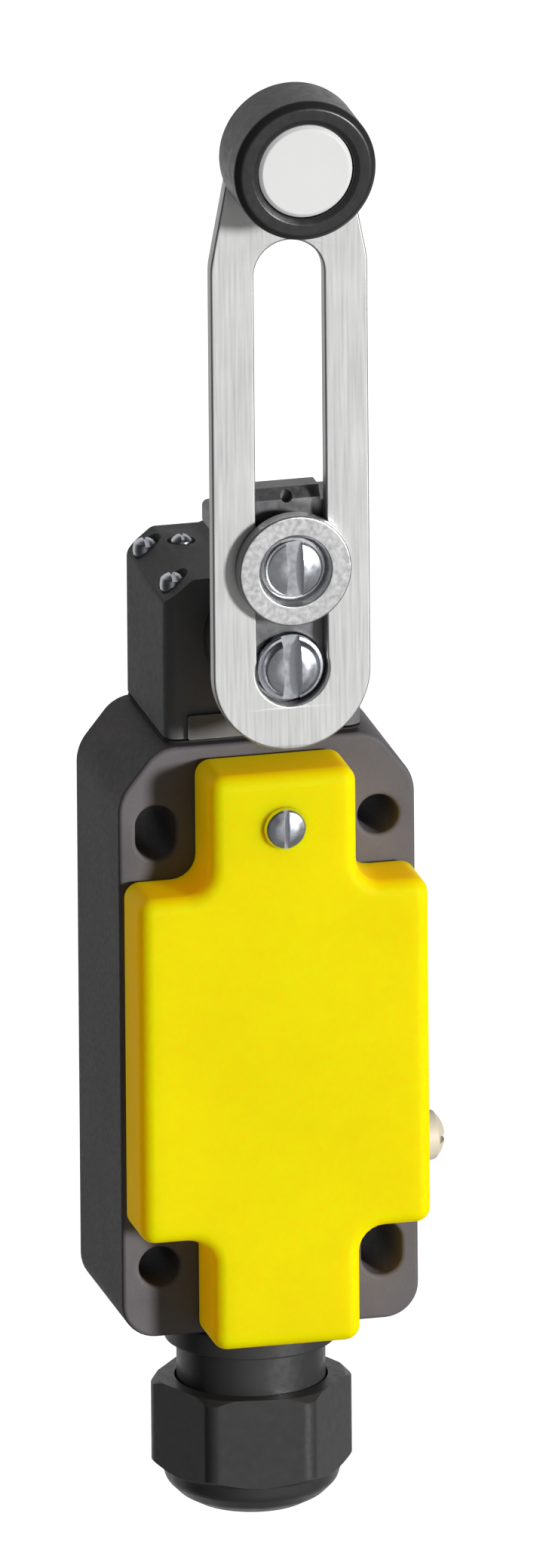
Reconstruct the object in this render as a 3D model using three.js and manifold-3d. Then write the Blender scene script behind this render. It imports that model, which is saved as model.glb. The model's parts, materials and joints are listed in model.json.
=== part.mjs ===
// A limit switch with an adjustable roller lever.
// Millimetres, +Z up. The origin is the centre of the 30 x 60 mm fixing pattern, on the flat back.
// The back lies in the plane y = 0, the front looks along -Y, and +X is to the right from the front.

import * as THREE from 'three';
import { mergeVertices } from 'three/addons/utils/BufferGeometryUtils.js';
import Module from 'manifold-3d';

const wasm = await Module();
wasm.setup();

// ---------------------------------------------------------------- driving dimensions

const GAP = 0.3;                 // left between pieces that touch on the real object
const SMALL_STEPS = 20;          // sides of small round pieces
const ROUND_STEPS = 40;          // sides of large round pieces

// Housing
const BODY_WIDTH = 40;
const BODY_DEPTH = 24.5;
const BODY_TOP = 41.5;
const BODY_BOTTOM = -39.7;
const SHOULDER_WIDTH = 5.3;      // sloped top corners, measured sideways
const SHOULDER_HEIGHT = 6.6;     // and downwards
const FIX_X = 15;                // half of the 30 mm hole spacing
const FIX_Z = 30;                // half of the 60 mm hole spacing
const FIX_RADIUS = 2.7;
const FIX_SLOT_TRAVEL = 2;       // extra length of the two slotted holes
const BACK_WALL = 3;
const ROOM_X = 17;               // half width of the wiring room
const ROOM_Z = 20.6;             // half height of the wiring room
const NECK_X = 6.8;              // half width of the room's narrow ends
const NECK_TOP = 28.5;
const NECK_BOTTOM = -34.6;

// Cover
const COVER_THICK = 10;
const COVER_X = 19.6;
const COVER_WALL = 2;
const COVER_WIDE_Z = 23.8;
const TAB_X = 9.95;
const TAB_TOP = 40;
const TAB_BOTTOM = -39.3;
const COVER_SCREW_Z = 32.7;
const COVER_SEAL = 0.9;

// Head, with the shaft's axis along Y
const SHAFT_Z = 56.1;
const HEAD_X = 13.3;
const HEAD_FRONT = -23.6;
const HEAD_BACK = -GAP;
const HEAD_BASE = BODY_TOP + 0.9;
const HEAD_TOP = 64.3;
const HEAD_FLAT_X = 9.5;         // half width of the flat top between the sloped long edges
const HEAD_EDGE_Z = 61.2;        // where the sloped long edges meet the sides
const CROWN_RADIUS = 9.1;        // rounded back of the head above the shaft
const NOSE_RADIUS = 8.2;
const NOSE_FRONT = -27.5;
const LEDGE_X = 10.5;
const LEDGE_TOP = 45.7;
const LEDGE_FRONT = -24.3;
const HEAD_SCREW_X = 11.3;
const HEAD_SCREW_SEAT = 61.6;
const HEAD_SCREW_SPACING_Y = 15.1;
const HEAD_MIDDLE_Y = -11.85;

// Shaft, hub and clamp
const SHAFT_RADIUS = 4;
const CAM_RADIUS = 6;
const HUB_BACK = -30;
const HUB_FRONT = -37.2;
const HUB_X = 8.4;
const HUB_FOOT_RADIUS = 9.2;
const HUB_BAR_X = 10.5;
const HUB_BAR_Z = [75.2, 78.6];
const HUB_LUG_X = 4.5;
const HUB_LUG_TOP = 80.4;
const HUB_LUG_HOLE_Z = 79.3;
const CLAMP_Z = 70.5;

// Lever and roller
const PLATE_BACK = -37.6;
const PLATE_THICK = 2;
const PLATE_RADIUS = 10.6;
const PLATE_LOW_CENTRE = 55.7;
const PLATE_HIGH_CENTRE = 111.5;
const SLOT_RADIUS = 4.75;
const SLOT_FOOT_RADIUS = 4.95;
const SLOT_FOOT_Z = 56.1;
const SLOT_TOP_Z = 110.8;
const ROLLER_Z = 128.2;
const ROLLER_EYE_RADIUS = 7.5;
const ROLLER_RADIUS = 9.6;
const ROLLER_BACK = -40.2;
const ROLLER_FRONT = -50;
const ROLLER_HUB_RADIUS = 6.35;

// Contact block
const BLOCK_Y = -12.25;          // the plane of the moving contacts
const BLOCK_X = 14.5;
const BLOCK_Z = [-15, 17];
const BLOCK_FRONT = -17;
const TERMINAL_X = 11.4;
const CONTACT_TRAVEL = 3;
const CLOSED_BRIDGE_Z = 4.4;
const OPEN_BRIDGE_Z = -6.4;

// Cable gland
const GLAND_Y = -12.9;
const GLAND_RADIUS = 9.8;
const GLAND_COLLAR_RADIUS = 11.4;
const GLAND_NUT_TOP = -49.6;
const GLAND_NUT_SHOULDER = -61.6;
const GLAND_NUT_END = -66.4;
const GLAND_NUT_FLATS = 23.6;
const GLAND_NUT_TURN = THREE.MathUtils.degToRad(-7);
const CABLE_RADIUS = 4.2;

// Earth screw on the right side
const EARTH_Y = -16.5;
const EARTH_Z = -17.5;

// ---------------------------------------------------------------- materials

const finish = (color, roughness, metalness) => ({ color, roughness, metalness });

const DARK_BODY = finish(0x3c3b3d, 0.6, 0);
const HEAD_GREY = finish(0x434344, 0.55, 0);
const YELLOW = finish(0xe8dc06, 0.5, 0);
const BLACK_RUBBER = finish(0x1c1c1d, 0.85, 0);
const BLACK_PLASTIC = finish(0x242426, 0.55, 0);
const LIGHT_PLASTIC = finish(0xe0e0df, 0.5, 0);
const CREAM_PLASTIC = finish(0xd9d2c0, 0.6, 0);
const STEEL = finish(0xd0d0d0, 0.35, 1);
const ZINC = finish(0xbfc3c8, 0.4, 1);
const DARK_METAL = finish(0x4a4a4c, 0.45, 1);
const BRASS = finish(0xc2a15a, 0.4, 1);
const COPPER = finish(0xb87445, 0.4, 1);

// ---------------------------------------------------------------- solids from geometries

function toSolid(geometry) {
  const bare = geometry.clone();
  bare.deleteAttribute('normal');
  bare.deleteAttribute('uv');
  const merged = mergeVertices(bare, 1e-5);
  const points = merged.attributes.position;
  const index = merged.index.array;
  const corners = [];
  let volume = 0;
  for (let i = 0; i < index.length; i += 3) {
    const [a, b, c] = [index[i], index[i + 1], index[i + 2]];
    if (a === b || b === c || c === a) {
      continue;
    }
    corners.push([a, b, c]);
    const [p, q, r] = [a, b, c].map((k) => new THREE.Vector3().fromBufferAttribute(points, k));
    volume += p.dot(q.cross(r));
  }
  const outward = volume > 0 ? corners : corners.map(([a, b, c]) => [a, c, b]);
  return new wasm.Manifold(new wasm.Mesh({
    numProp: 3,
    vertProperties: new Float32Array(points.array),
    triVerts: new Uint32Array(outward.flat()),
  }));
}

function join(...solids) {
  return solids.reduce((sum, solid) => sum.add(solid));
}

function cut(solid, ...tools) {
  return tools.reduce((rest, tool) => rest.subtract(tool), solid);
}

function box([x0, x1], [y0, y1], [z0, z1]) {
  const geometry = new THREE.BoxGeometry(x1 - x0, y1 - y0, z1 - z0);
  geometry.translate((x0 + x1) / 2, (y0 + y1) / 2, (z0 + z1) / 2);
  return toSolid(geometry);
}

// A cylinder along one axis, from one end to the other.
function rod(axis, radius, [from, to], [u, v], steps = SMALL_STEPS) {
  const geometry = new THREE.CylinderGeometry(radius, radius, Math.abs(to - from), steps);
  const middle = (from + to) / 2;
  if (axis === 'x') {
    geometry.rotateZ(Math.PI / 2).translate(middle, u, v);
  } else if (axis === 'y') {
    geometry.translate(u, middle, v);
  } else {
    geometry.rotateX(Math.PI / 2).translate(u, v, middle);
  }
  return toSolid(geometry);
}

// A turned piece: pairs of radius and place along the axis, closed back to the first pair.
function turned(axis, pairs, [u, v], steps = SMALL_STEPS) {
  const profile = pairs.map(([radius, along]) => new THREE.Vector2(radius, along));
  const onAxis = profile[0].x === 0 && profile.at(-1).x === 0;
  const geometry = new THREE.LatheGeometry(onAxis ? profile : [...profile, profile[0]], steps);
  if (axis === 'x') {
    geometry.rotateZ(-Math.PI / 2).translate(0, u, v);
  } else if (axis === 'y') {
    geometry.translate(u, 0, v);
  } else {
    geometry.rotateX(Math.PI / 2).translate(u, v, 0);
  }
  return toSolid(geometry);
}

// A straight prism along Y of an outline of (x, z) points, with optional rounded rims.
function slabY(outline, [front, back], rim = 0) {
  const geometry = new THREE.ExtrudeGeometry(outline, {
    depth: back - front - 2 * rim,
    bevelEnabled: rim > 0,
    bevelThickness: rim,
    bevelSize: rim,
    bevelOffset: -rim,
    bevelSegments: 2,
  });
  geometry.rotateX(Math.PI / 2).translate(0, back - rim, 0);
  return toSolid(geometry);
}

// A straight prism along X of an outline of (y, z) points.
function slabX(outline, [left, right]) {
  const geometry = new THREE.ExtrudeGeometry(outline, { depth: right - left, bevelEnabled: false });
  const turn = new THREE.Matrix4().makeBasis(
    new THREE.Vector3(0, 1, 0), new THREE.Vector3(0, 0, 1), new THREE.Vector3(1, 0, 0),
  );
  geometry.applyMatrix4(turn).translate(left, 0, 0);
  return toSolid(geometry);
}

// A straight prism along Z of an outline of (x, y) points.
function slabZ(outline, [low, high]) {
  const geometry = new THREE.ExtrudeGeometry(outline, { depth: high - low, bevelEnabled: false });
  geometry.translate(0, 0, low);
  return toSolid(geometry);
}

// ---------------------------------------------------------------- outlines

function arc([x, y], radius, from, to, steps) {
  return Array.from({ length: steps + 1 }, (_, i) => {
    const angle = from + (to - from) * i / steps;
    return new THREE.Vector2(x + radius * Math.cos(angle), y + radius * Math.sin(angle));
  });
}

// A polygon whose corners [x, y, radius] are rounded.
function rounded(corners, steps = 4) {
  const points = corners.flatMap(([x, y, radius], i) => {
    const corner = new THREE.Vector2(x, y);
    const [px, py] = corners.at(i - 1);
    const [nx, ny] = corners[(i + 1) % corners.length];
    const before = new THREE.Vector2(px, py).sub(corner).normalize();
    const after = new THREE.Vector2(nx, ny).sub(corner).normalize();
    if (!radius) {
      return [corner];
    }
    const half = Math.acos(before.dot(after)) / 2;
    const middle = before.clone().add(after).normalize();
    const centre = corner.clone().addScaledVector(middle, radius / Math.sin(half));
    const start = corner.clone().addScaledVector(before, radius / Math.tan(half)).sub(centre);
    const end = corner.clone().addScaledVector(after, radius / Math.tan(half)).sub(centre);
    let sweep = end.angle() - start.angle();
    sweep -= Math.round(sweep / (2 * Math.PI)) * 2 * Math.PI;
    return arc([centre.x, centre.y], radius, start.angle(), start.angle() + sweep, steps);
  });
  return new THREE.Shape(points);
}

function roundedRectangle([x0, x1], [y0, y1], radius, steps = 4) {
  return rounded([[x0, y0, radius], [x1, y0, radius], [x1, y1, radius], [x0, y1, radius]], steps);
}

function upright([x, z], radius, travel) {
  const low = arc([x, z - travel / 2], radius, Math.PI, 2 * Math.PI, SMALL_STEPS / 2);
  const high = arc([x, z + travel / 2], radius, 0, Math.PI, SMALL_STEPS / 2);
  return new THREE.Shape([...low, ...high]);
}

// The cross shared by the cover, its seal and the housing's room: a wide middle and two narrow ends.
function cross({ wideX, wideZ, endX, low, high, inner, outer }) {
  return rounded([
    [-wideX, -wideZ, outer], [-endX, -wideZ, inner], [-endX, low, outer], [endX, low, outer],
    [endX, -wideZ, inner], [wideX, -wideZ, outer], [wideX, wideZ, outer], [endX, wideZ, inner],
    [endX, high, outer], [-endX, high, outer], [-endX, wideZ, inner], [-wideX, wideZ, outer],
  ]);
}

// ---------------------------------------------------------------- assembly

const limitSwitch = new THREE.Group();

function place(name, solid, { color, roughness, metalness }) {
  const { vertProperties, triVerts, numProp } = solid.getMesh();
  const geometry = new THREE.BufferGeometry();
  geometry.setAttribute('position', new THREE.InterleavedBufferAttribute(
    new THREE.InterleavedBuffer(vertProperties, numProp), 3, 0));
  geometry.setIndex(new THREE.BufferAttribute(triVerts, 1));
  geometry.computeVertexNormals();
  const mesh = new THREE.Mesh(geometry, new THREE.MeshStandardMaterial({ color, roughness, metalness }));
  mesh.name = name;
  limitSwitch.add(mesh);
}

const SIDES = [['left', -1], ['right', 1]];

// ---------------------------------------------------------------- housing

const FRONT = -BODY_DEPTH;
const HALF_WIDTH = BODY_WIDTH / 2;

function housing() {
  const shoulder = HALF_WIDTH - SHOULDER_WIDTH;
  const outline = rounded([
    [-HALF_WIDTH, BODY_BOTTOM, 4.6], [HALF_WIDTH, BODY_BOTTOM, 4.6],
    [HALF_WIDTH, BODY_TOP - SHOULDER_HEIGHT, 6], [shoulder, BODY_TOP, 5],
    [-shoulder, BODY_TOP, 5], [-HALF_WIDTH, BODY_TOP - SHOULDER_HEIGHT, 6],
  ]);
  const room = cross({
    wideX: ROOM_X, wideZ: ROOM_Z, endX: NECK_X, low: NECK_BOTTOM, high: NECK_TOP, inner: 1.5, outer: 1.5,
  });
  const through = [FRONT - 1, 1];
  const cuts = [
    slabY(room, [FRONT - 1, -BACK_WALL]),
    rod('z', 3, [NECK_TOP - 2, BODY_TOP + 1], [0, BLOCK_Y]),
    rod('y', 1.6, [FRONT - 1, FRONT + 8], [0, COVER_SCREW_Z]),
    rod('z', GLAND_RADIUS + GAP, [BODY_BOTTOM - 1, NECK_BOTTOM + 0.2], [0, GLAND_Y], ROUND_STEPS),
  ];
  for (const [, x] of SIDES) {
    for (const z of [FIX_Z, -FIX_Z]) {
      const travel = x * z < 0 ? FIX_SLOT_TRAVEL : 0;
      cuts.push(slabY(upright([x * FIX_X, z], FIX_RADIUS, travel), through));
    }
    cuts.push(rod('y', 1.3, [-BACK_WALL - 1, -0.8], [x * TERMINAL_X, 14.3], 12));
    for (const y of HEAD_SCREW_YS) {
      cuts.push(rod('z', 1.3, [BODY_TOP - 6, BODY_TOP + 1], [x * HEAD_SCREW_X, y], 12));
    }
  }
  const earthBoss = rod('x', 3.6, [14.9, ROOM_X + 1], [EARTH_Y, EARTH_Z]);
  const hollow = join(cut(slabY(outline, [FRONT, 0]), ...cuts), earthBoss);
  return cut(hollow, rod('x', 1.9, [15.5, HALF_WIDTH + 1], [EARTH_Y, EARTH_Z]));
}

const HEAD_SCREW_YS = [-1, 1].map((side) => HEAD_MIDDLE_Y + side * HEAD_SCREW_SPACING_Y / 2);

// ---------------------------------------------------------------- cover

const COVER_BACK = FRONT - COVER_SEAL;
const COVER_FRONT = COVER_BACK - COVER_THICK + COVER_SEAL;

function cover() {
  const outline = cross({
    wideX: COVER_X, wideZ: COVER_WIDE_Z, endX: TAB_X, low: TAB_BOTTOM, high: TAB_TOP, inner: 3.4, outer: 2,
  });
  const hollow = cross({
    wideX: COVER_X - COVER_WALL, wideZ: COVER_WIDE_Z - COVER_WALL, endX: TAB_X - COVER_WALL,
    low: TAB_BOTTOM + COVER_WALL, high: NECK_TOP - 1, inner: 1.5, outer: 1,
  });
  return cut(
    slabY(outline, [COVER_FRONT, COVER_BACK], 1.4),
    slabY(hollow, [COVER_FRONT + COVER_WALL, COVER_BACK + 1]),
    rod('y', 1.9, [COVER_FRONT - 1, COVER_BACK + 1], [0, COVER_SCREW_Z]),
  );
}

function coverSeal() {
  const edge = 0.5;
  const outline = cross({
    wideX: COVER_X - edge, wideZ: COVER_WIDE_Z - edge, endX: TAB_X - edge,
    low: TAB_BOTTOM + edge, high: TAB_TOP - edge, inner: 2.5, outer: 1.5,
  });
  const window = cross({
    wideX: ROOM_X + 0.2, wideZ: ROOM_Z + 0.2, endX: NECK_X + 0.2,
    low: NECK_BOTTOM, high: NECK_TOP - 1, inner: 1.5, outer: 1,
  });
  const span = [COVER_BACK + GAP, FRONT - GAP];
  return cut(
    slabY(outline, span),
    slabY(window, [COVER_BACK - 1, FRONT + 1]),
    rod('y', 1.9, [COVER_BACK - 1, FRONT + 1], [0, COVER_SCREW_Z]),
  );
}

// A slotted screw along Y, head towards -Y: the head's front and back, then the shank's end.
function screwY([x, z], { head, front, back, shank, end, slot }) {
  const body = turned('y', [[0, front], [head * 0.72, front], [head, front + 0.5],
    [head, back], [shank, back], [shank, end], [0, end]], [x, z]);
  return cut(body, box([x - slot / 2, x + slot / 2], [front - 1, front + (back - front) * 0.45],
    [z - head - 1, z + head + 1]));
}

// ---------------------------------------------------------------- head

function headHousing() {
  const footprint = roundedRectangle([-HEAD_X, HEAD_X], [HEAD_FRONT, HEAD_BACK], 2);
  const profile = rounded([
    [-HEAD_X, HEAD_BASE, 0], [HEAD_X, HEAD_BASE, 0], [HEAD_X, HEAD_EDGE_Z, 1.5], [HEAD_FLAT_X, HEAD_TOP, 1.5],
    [-HEAD_FLAT_X, HEAD_TOP, 1.5], [-HEAD_X, HEAD_EDGE_Z, 1.5],
  ]);
  const block = join(
    slabZ(footprint, [HEAD_BASE, HEAD_TOP]).intersect(slabY(profile, [HEAD_FRONT - 1, HEAD_BACK + 1])),
    rod('y', CROWN_RADIUS, [HEAD_FRONT + 1, HEAD_BACK], [0, SHAFT_Z], ROUND_STEPS),
    rod('y', NOSE_RADIUS, [NOSE_FRONT, HEAD_FRONT + 2], [0, SHAFT_Z], ROUND_STEPS),
    box([-LEDGE_X, LEDGE_X], [LEDGE_FRONT, HEAD_FRONT + 1], [HEAD_BASE, LEDGE_TOP]),
  );
  const cuts = [
    rod('y', CAM_RADIUS + 0.6, [HEAD_FRONT + 5, HEAD_BACK - 2], [0, SHAFT_Z], ROUND_STEPS),
    box([-5.4, 5.4], [BLOCK_Y - 5.4, BLOCK_Y + 5.4], [HEAD_BASE - 1, SHAFT_Z]),
    rod('y', 6, [NOSE_FRONT - 1, HEAD_FRONT + 6], [0, SHAFT_Z], ROUND_STEPS),
    rod('z', 0.9, [ANCHOR_SEAT - 6, HEAD_TOP + 1], [ANCHOR_X, ANCHOR_Y], 12),
    rod('z', 1.9, [ANCHOR_SEAT, HEAD_TOP + 1], [ANCHOR_X, ANCHOR_Y]),
  ];
  for (const [, x] of SIDES) {
    for (const y of HEAD_SCREW_YS) {
      cuts.push(rod('z', 1.4, [HEAD_BASE - 1, HEAD_TOP], [x * HEAD_SCREW_X, y], 12));
      cuts.push(rod('z', 2.1, [HEAD_SCREW_SEAT, HEAD_TOP + 1], [x * HEAD_SCREW_X, y]));
    }
  }
  return cut(block, ...cuts);
}

const ANCHOR_X = -7.1;
const ANCHOR_Y = -7.2;
const ANCHOR_SEAT = 62.7;

function headGasket() {
  const outline = roundedRectangle([-HEAD_X, HEAD_X], [HEAD_FRONT, HEAD_BACK - 0.2], 2);
  const cuts = [rod('z', 4.4, [BODY_TOP - 1, HEAD_BASE + 1], [0, BLOCK_Y])];
  for (const [, x] of SIDES) {
    for (const y of HEAD_SCREW_YS) {
      cuts.push(rod('z', 1.6, [BODY_TOP - 1, HEAD_BASE + 1], [x * HEAD_SCREW_X, y], 12));
    }
  }
  return cut(slabZ(outline, [BODY_TOP + GAP, HEAD_BASE - GAP]), ...cuts);
}

// A cheese-head screw standing on the top, shank downwards.
function screwDown([x, y], { head, seat, height, shank, end, slot }) {
  const top = seat + height;
  const body = turned('z', [[0, top], [head * 0.8, top], [head, top - 0.5],
    [head, seat], [shank, seat], [shank, end], [0, end]], [x, y], 16);
  return cut(body, box([x - slot / 2, x + slot / 2], [y - head - 1, y + head + 1], [top - 1, top + 1]));
}

// ---------------------------------------------------------------- shaft and hub

function shaftBushing() {
  const bore = SHAFT_RADIUS + 0.08;
  return turned('y', [
    [bore, NOSE_FRONT - 0.9], [7.3, NOSE_FRONT - 0.9], [7.3, NOSE_FRONT - GAP], [5.7, NOSE_FRONT - GAP],
    [5.7, HEAD_FRONT + 4], [bore, HEAD_FRONT + 4],
  ], [0, SHAFT_Z], ROUND_STEPS);
}

function shaft() {
  const neck = 3.4;
  const groove = [HEAD_FRONT + 17.4, HEAD_FRONT + 18.3];
  const body = turned('y', [
    [0, HUB_FRONT + 2.4], [neck, HUB_FRONT + 2.4], [neck, HUB_BACK + 0.1], [SHAFT_RADIUS, HUB_BACK + 0.1],
    [SHAFT_RADIUS, groove[0]], [3.3, groove[0]], [3.3, groove[1]], [SHAFT_RADIUS, groove[1]],
    [SHAFT_RADIUS, HEAD_BACK - 2.4], [0, HEAD_BACK - 2.4],
  ], [0, SHAFT_Z], 32);
  return cut(
    body,
    rod('y', 1.6, [HUB_FRONT + 1, HUB_FRONT + 10], [0, SHAFT_Z], 12),
    box([-5, 5], [HUB_FRONT + 2, HUB_BACK], [SHAFT_Z + 2.6, SHAFT_Z + 5]),
  );
}

// A round cam with a notch that the follower's crown rests under.
function shaftCam() {
  const lobe = slabY(rounded([
    [-CAM_RADIUS, SHAFT_Z, 0], [-2.6, SHAFT_Z - 5.4, 0.6], [0, SHAFT_Z - 4.7, 0.6], [2.6, SHAFT_Z - 5.4, 0.6],
    [CAM_RADIUS, SHAFT_Z, 0], [3.6, SHAFT_Z + 4.8, 2], [-3.6, SHAFT_Z + 4.8, 2],
  ]), [BLOCK_Y - 3, BLOCK_Y + 3]);
  return cut(lobe, rod('y', SHAFT_RADIUS + 0.12, [BLOCK_Y - 4, BLOCK_Y + 4], [0, SHAFT_Z], 32));
}

function leverHub() {
  const neck = new THREE.Shape([
    ...arc([0, SHAFT_Z], HUB_FOOT_RADIUS, Math.PI * 1.12, Math.PI * 1.88, 16),
    new THREE.Vector2(HUB_X, HUB_BAR_Z[1]),
    new THREE.Vector2(-HUB_X, HUB_BAR_Z[1]),
  ]);
  const lugSide = new THREE.Shape([
    new THREE.Vector2(HUB_FRONT, HUB_BAR_Z[0]), new THREE.Vector2(HUB_FRONT + 4, HUB_BAR_Z[0]),
    new THREE.Vector2(HUB_FRONT + 4, HUB_LUG_TOP), new THREE.Vector2(HUB_FRONT + 1, HUB_LUG_TOP),
    new THREE.Vector2(HUB_FRONT, HUB_LUG_TOP - 1.4),
  ]);
  const lug = slabX(lugSide, [-HUB_LUG_X, HUB_LUG_X]);
  const body = join(
    slabY(neck, [HUB_FRONT, HUB_BACK]),
    slabY(roundedRectangle([-HUB_BAR_X, HUB_BAR_X], HUB_BAR_Z, 0.8, 2), [HUB_FRONT, HUB_FRONT + 4]),
    lug,
  );
  const shaftHole = cut(
    rod('y', 3.5, [HUB_FRONT - 1, HUB_BACK + 1], [0, SHAFT_Z], 32),
    box([-5, 5], [HUB_FRONT - 2, HUB_BACK + 2], [SHAFT_Z + 2.7, SHAFT_Z + 5]),
  );
  return cut(
    body, shaftHole,
    rod('y', 4.6, [HUB_FRONT - 1, HUB_FRONT + 2.2], [0, SHAFT_Z], 32),
    rod('y', 2.7, [HUB_FRONT - 1, HUB_BACK + 1], [0, CLAMP_Z]),
    box([-4.6, 4.6], [HUB_BACK - 2.8, HUB_BACK + 1], [CLAMP_Z - 4.6, CLAMP_Z + 4.6]),
    rod('y', 0.8, [HUB_FRONT - 1, HUB_FRONT + 1.5], [0, HUB_LUG_HOLE_Z], 12),
  );
}

function clampNut() {
  const outline = roundedRectangle([-4.3, 4.3], [CLAMP_Z - 4.3, CLAMP_Z + 4.3], 0.6, 2);
  return cut(
    slabY(outline, [HUB_BACK - 2.5, HUB_BACK + 0.2]),
    rod('y', 2.75, [HUB_BACK - 4, HUB_BACK + 1], [0, CLAMP_Z]),
  );
}

const PLATE_FRONT = PLATE_BACK - PLATE_THICK;

// A cup washer: the screw's head sits in its recess.
function clampWasher() {
  const front = PLATE_FRONT - 2.4;
  const seat = PLATE_FRONT - 0.8;
  return turned('y', [
    [2.9, seat], [4.3, seat], [4.9, front], [7.2, front], [7.6, front + 0.4], [7.6, PLATE_FRONT - GAP],
    [2.9, PLATE_FRONT - GAP],
  ], [0, CLAMP_Z], ROUND_STEPS);
}

// ---------------------------------------------------------------- lever and roller

function leverPlate() {
  const lean = Math.asin((PLATE_RADIUS - ROLLER_EYE_RADIUS) / (ROLLER_Z - PLATE_HIGH_CENTRE));
  const outline = new THREE.Shape([
    ...arc([0, PLATE_LOW_CENTRE], PLATE_RADIUS, Math.PI, 2 * Math.PI, 24),
    ...arc([0, PLATE_HIGH_CENTRE], PLATE_RADIUS, 0, lean, 3),
    ...arc([0, ROLLER_Z], ROLLER_EYE_RADIUS, lean, Math.PI - lean, 16),
    ...arc([0, PLATE_HIGH_CENTRE], PLATE_RADIUS, Math.PI - lean, Math.PI, 3),
  ]);
  const spread = Math.asin(SLOT_RADIUS / SLOT_FOOT_RADIUS);
  const slot = new THREE.Shape([
    ...arc([0, SLOT_TOP_Z], SLOT_RADIUS, 0, Math.PI, 14),
    ...arc([0, SLOT_FOOT_Z], SLOT_FOOT_RADIUS, Math.PI / 2 + spread, Math.PI * 2.5 - spread, 20),
  ]);
  const through = [PLATE_FRONT - 1, PLATE_BACK + 1];
  return cut(
    slabY(outline, [PLATE_FRONT, PLATE_BACK]),
    slabY(slot, through),
    rod('y', 2.3, through, [0, ROLLER_Z]),
  );
}

function rollerPin() {
  const back = PLATE_BACK + 0.9;
  return turned('y', [
    [0, ROLLER_FRONT + 1.5], [2.1, ROLLER_FRONT + 1.5], [2.1, PLATE_BACK + GAP], [3.4, PLATE_BACK + GAP],
    [3.4, back], [0, back],
  ], [0, ROLLER_Z]);
}

function rollerTyre() {
  const [front, back] = [ROLLER_FRONT, ROLLER_BACK];
  const [inner, outer] = [ROLLER_HUB_RADIUS + 0.25, ROLLER_RADIUS];
  return turned('y', [
    [inner, front + 0.5], [inner + 0.5, front], [outer - 0.9, front], [outer, front + 0.9],
    [outer, back - 0.9], [outer - 0.9, back], [inner, back],
  ], [0, ROLLER_Z], 48);
}

function rollerHub() {
  const [front, back] = [ROLLER_FRONT + 0.3, ROLLER_BACK];
  return turned('y', [
    [0, front], [ROLLER_HUB_RADIUS - 0.4, front], [ROLLER_HUB_RADIUS, front + 0.4], [ROLLER_HUB_RADIUS, back],
    [2.15, back], [2.15, front + 1.1], [0, front + 1.1],
  ], [0, ROLLER_Z], ROUND_STEPS);
}

// ---------------------------------------------------------------- follower and contact block

const FOLLOWER_TOP = SHAFT_Z - CAM_RADIUS - GAP;
const CARRIER_TOP = 26;

function follower() {
  return turned('z', [
    [0, FOLLOWER_TOP], [3.4, FOLLOWER_TOP], [4, FOLLOWER_TOP - 0.6], [4, FOLLOWER_TOP - 1.5],
    [2.5, FOLLOWER_TOP - 1.5], [2.5, CARRIER_TOP + GAP], [0, CARRIER_TOP + GAP],
  ], [0, BLOCK_Y]);
}

function sleeve(axis, [inner, outer], [from, to], at) {
  return turned(axis, [[inner, from], [outer, from], [outer, to], [inner, to]], at, 24);
}

function contactBase() {
  const [low, high] = BLOCK_Z;
  const outline = roundedRectangle([-BLOCK_X, BLOCK_X], BLOCK_Z, 1, 2);
  const cuts = [
    box([-9.4, 9.4], [BLOCK_FRONT - 1, -8.6], [-11.6, 9.4]),
    box([-4.1, 4.1], [BLOCK_FRONT - 1, BLOCK_Y + 3.1], [low + 0.9, high + 1]),
  ];
  for (const [, x] of SIDES) {
    for (const z of TERMINAL_ZS) {
      cuts.push(rod('y', 1.6, [BLOCK_FRONT - 1, -10.4], [x * TERMINAL_X, z], 12));
    }
    cuts.push(rod('y', 1.5, [BLOCK_FRONT - 1, -2], [x * TERMINAL_X, 14.3], 12));
  }
  return cut(slabY(outline, [BLOCK_FRONT, -BACK_WALL - GAP]), ...cuts);
}

const TERMINAL_ZS = [7.4, -8.8];

// A clamp plate on the block's front, with a tongue that carries the fixed contact.
function terminal(side, screwZ, tongueZ) {
  const face = BLOCK_FRONT - GAP;
  const spanX = (from, to) => [side * from, side * to].sort((a, b) => a - b);
  const plate = cut(
    box(spanX(8.3, 14.3), [face - 1.1, face], [screwZ - 3.1, screwZ + 3.1]),
    rod('y', 1.6, [face - 2, face + 1], [side * TERMINAL_X, screwZ], 12),
  );
  return join(
    plate,
    box(spanX(8.3, 9.1), [face - 1.1, BLOCK_Y + 1.6], [tongueZ - 0.5, tongueZ + 0.5]),
    box(spanX(5.6, 9.1), [BLOCK_Y - 1.6, BLOCK_Y + 1.6], [tongueZ - 0.5, tongueZ + 0.5]),
  );
}

function contactCarrier() {
  const stem = join(
    box([-3.7, 3.7], [BLOCK_Y - 2.7, BLOCK_Y + 2.7], [-9, 16.6]),
    rod('z', 2, [16, CARRIER_TOP], [0, BLOCK_Y]),
  );
  const windows = [CLOSED_BRIDGE_Z, OPEN_BRIDGE_Z].map((z) => box([-5, 5], [BLOCK_Y - 1.6, BLOCK_Y + 1.6],
    [z - 0.9, z + 0.9]));
  return cut(stem, ...windows);
}

// A contact bridge with a button at each end, on the side that meets the fixed contacts.
function bridge(z, side) {
  const buttons = [-6.5, 6.5].map((x) => rod('z', 0.9, [z, z + side * 0.75], [x, BLOCK_Y], 12));
  return join(box([-7.6, 7.6], [BLOCK_Y - 1.2, BLOCK_Y + 1.2], [z - 0.4, z + 0.4]), ...buttons);
}

// ---------------------------------------------------------------- cable gland

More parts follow.
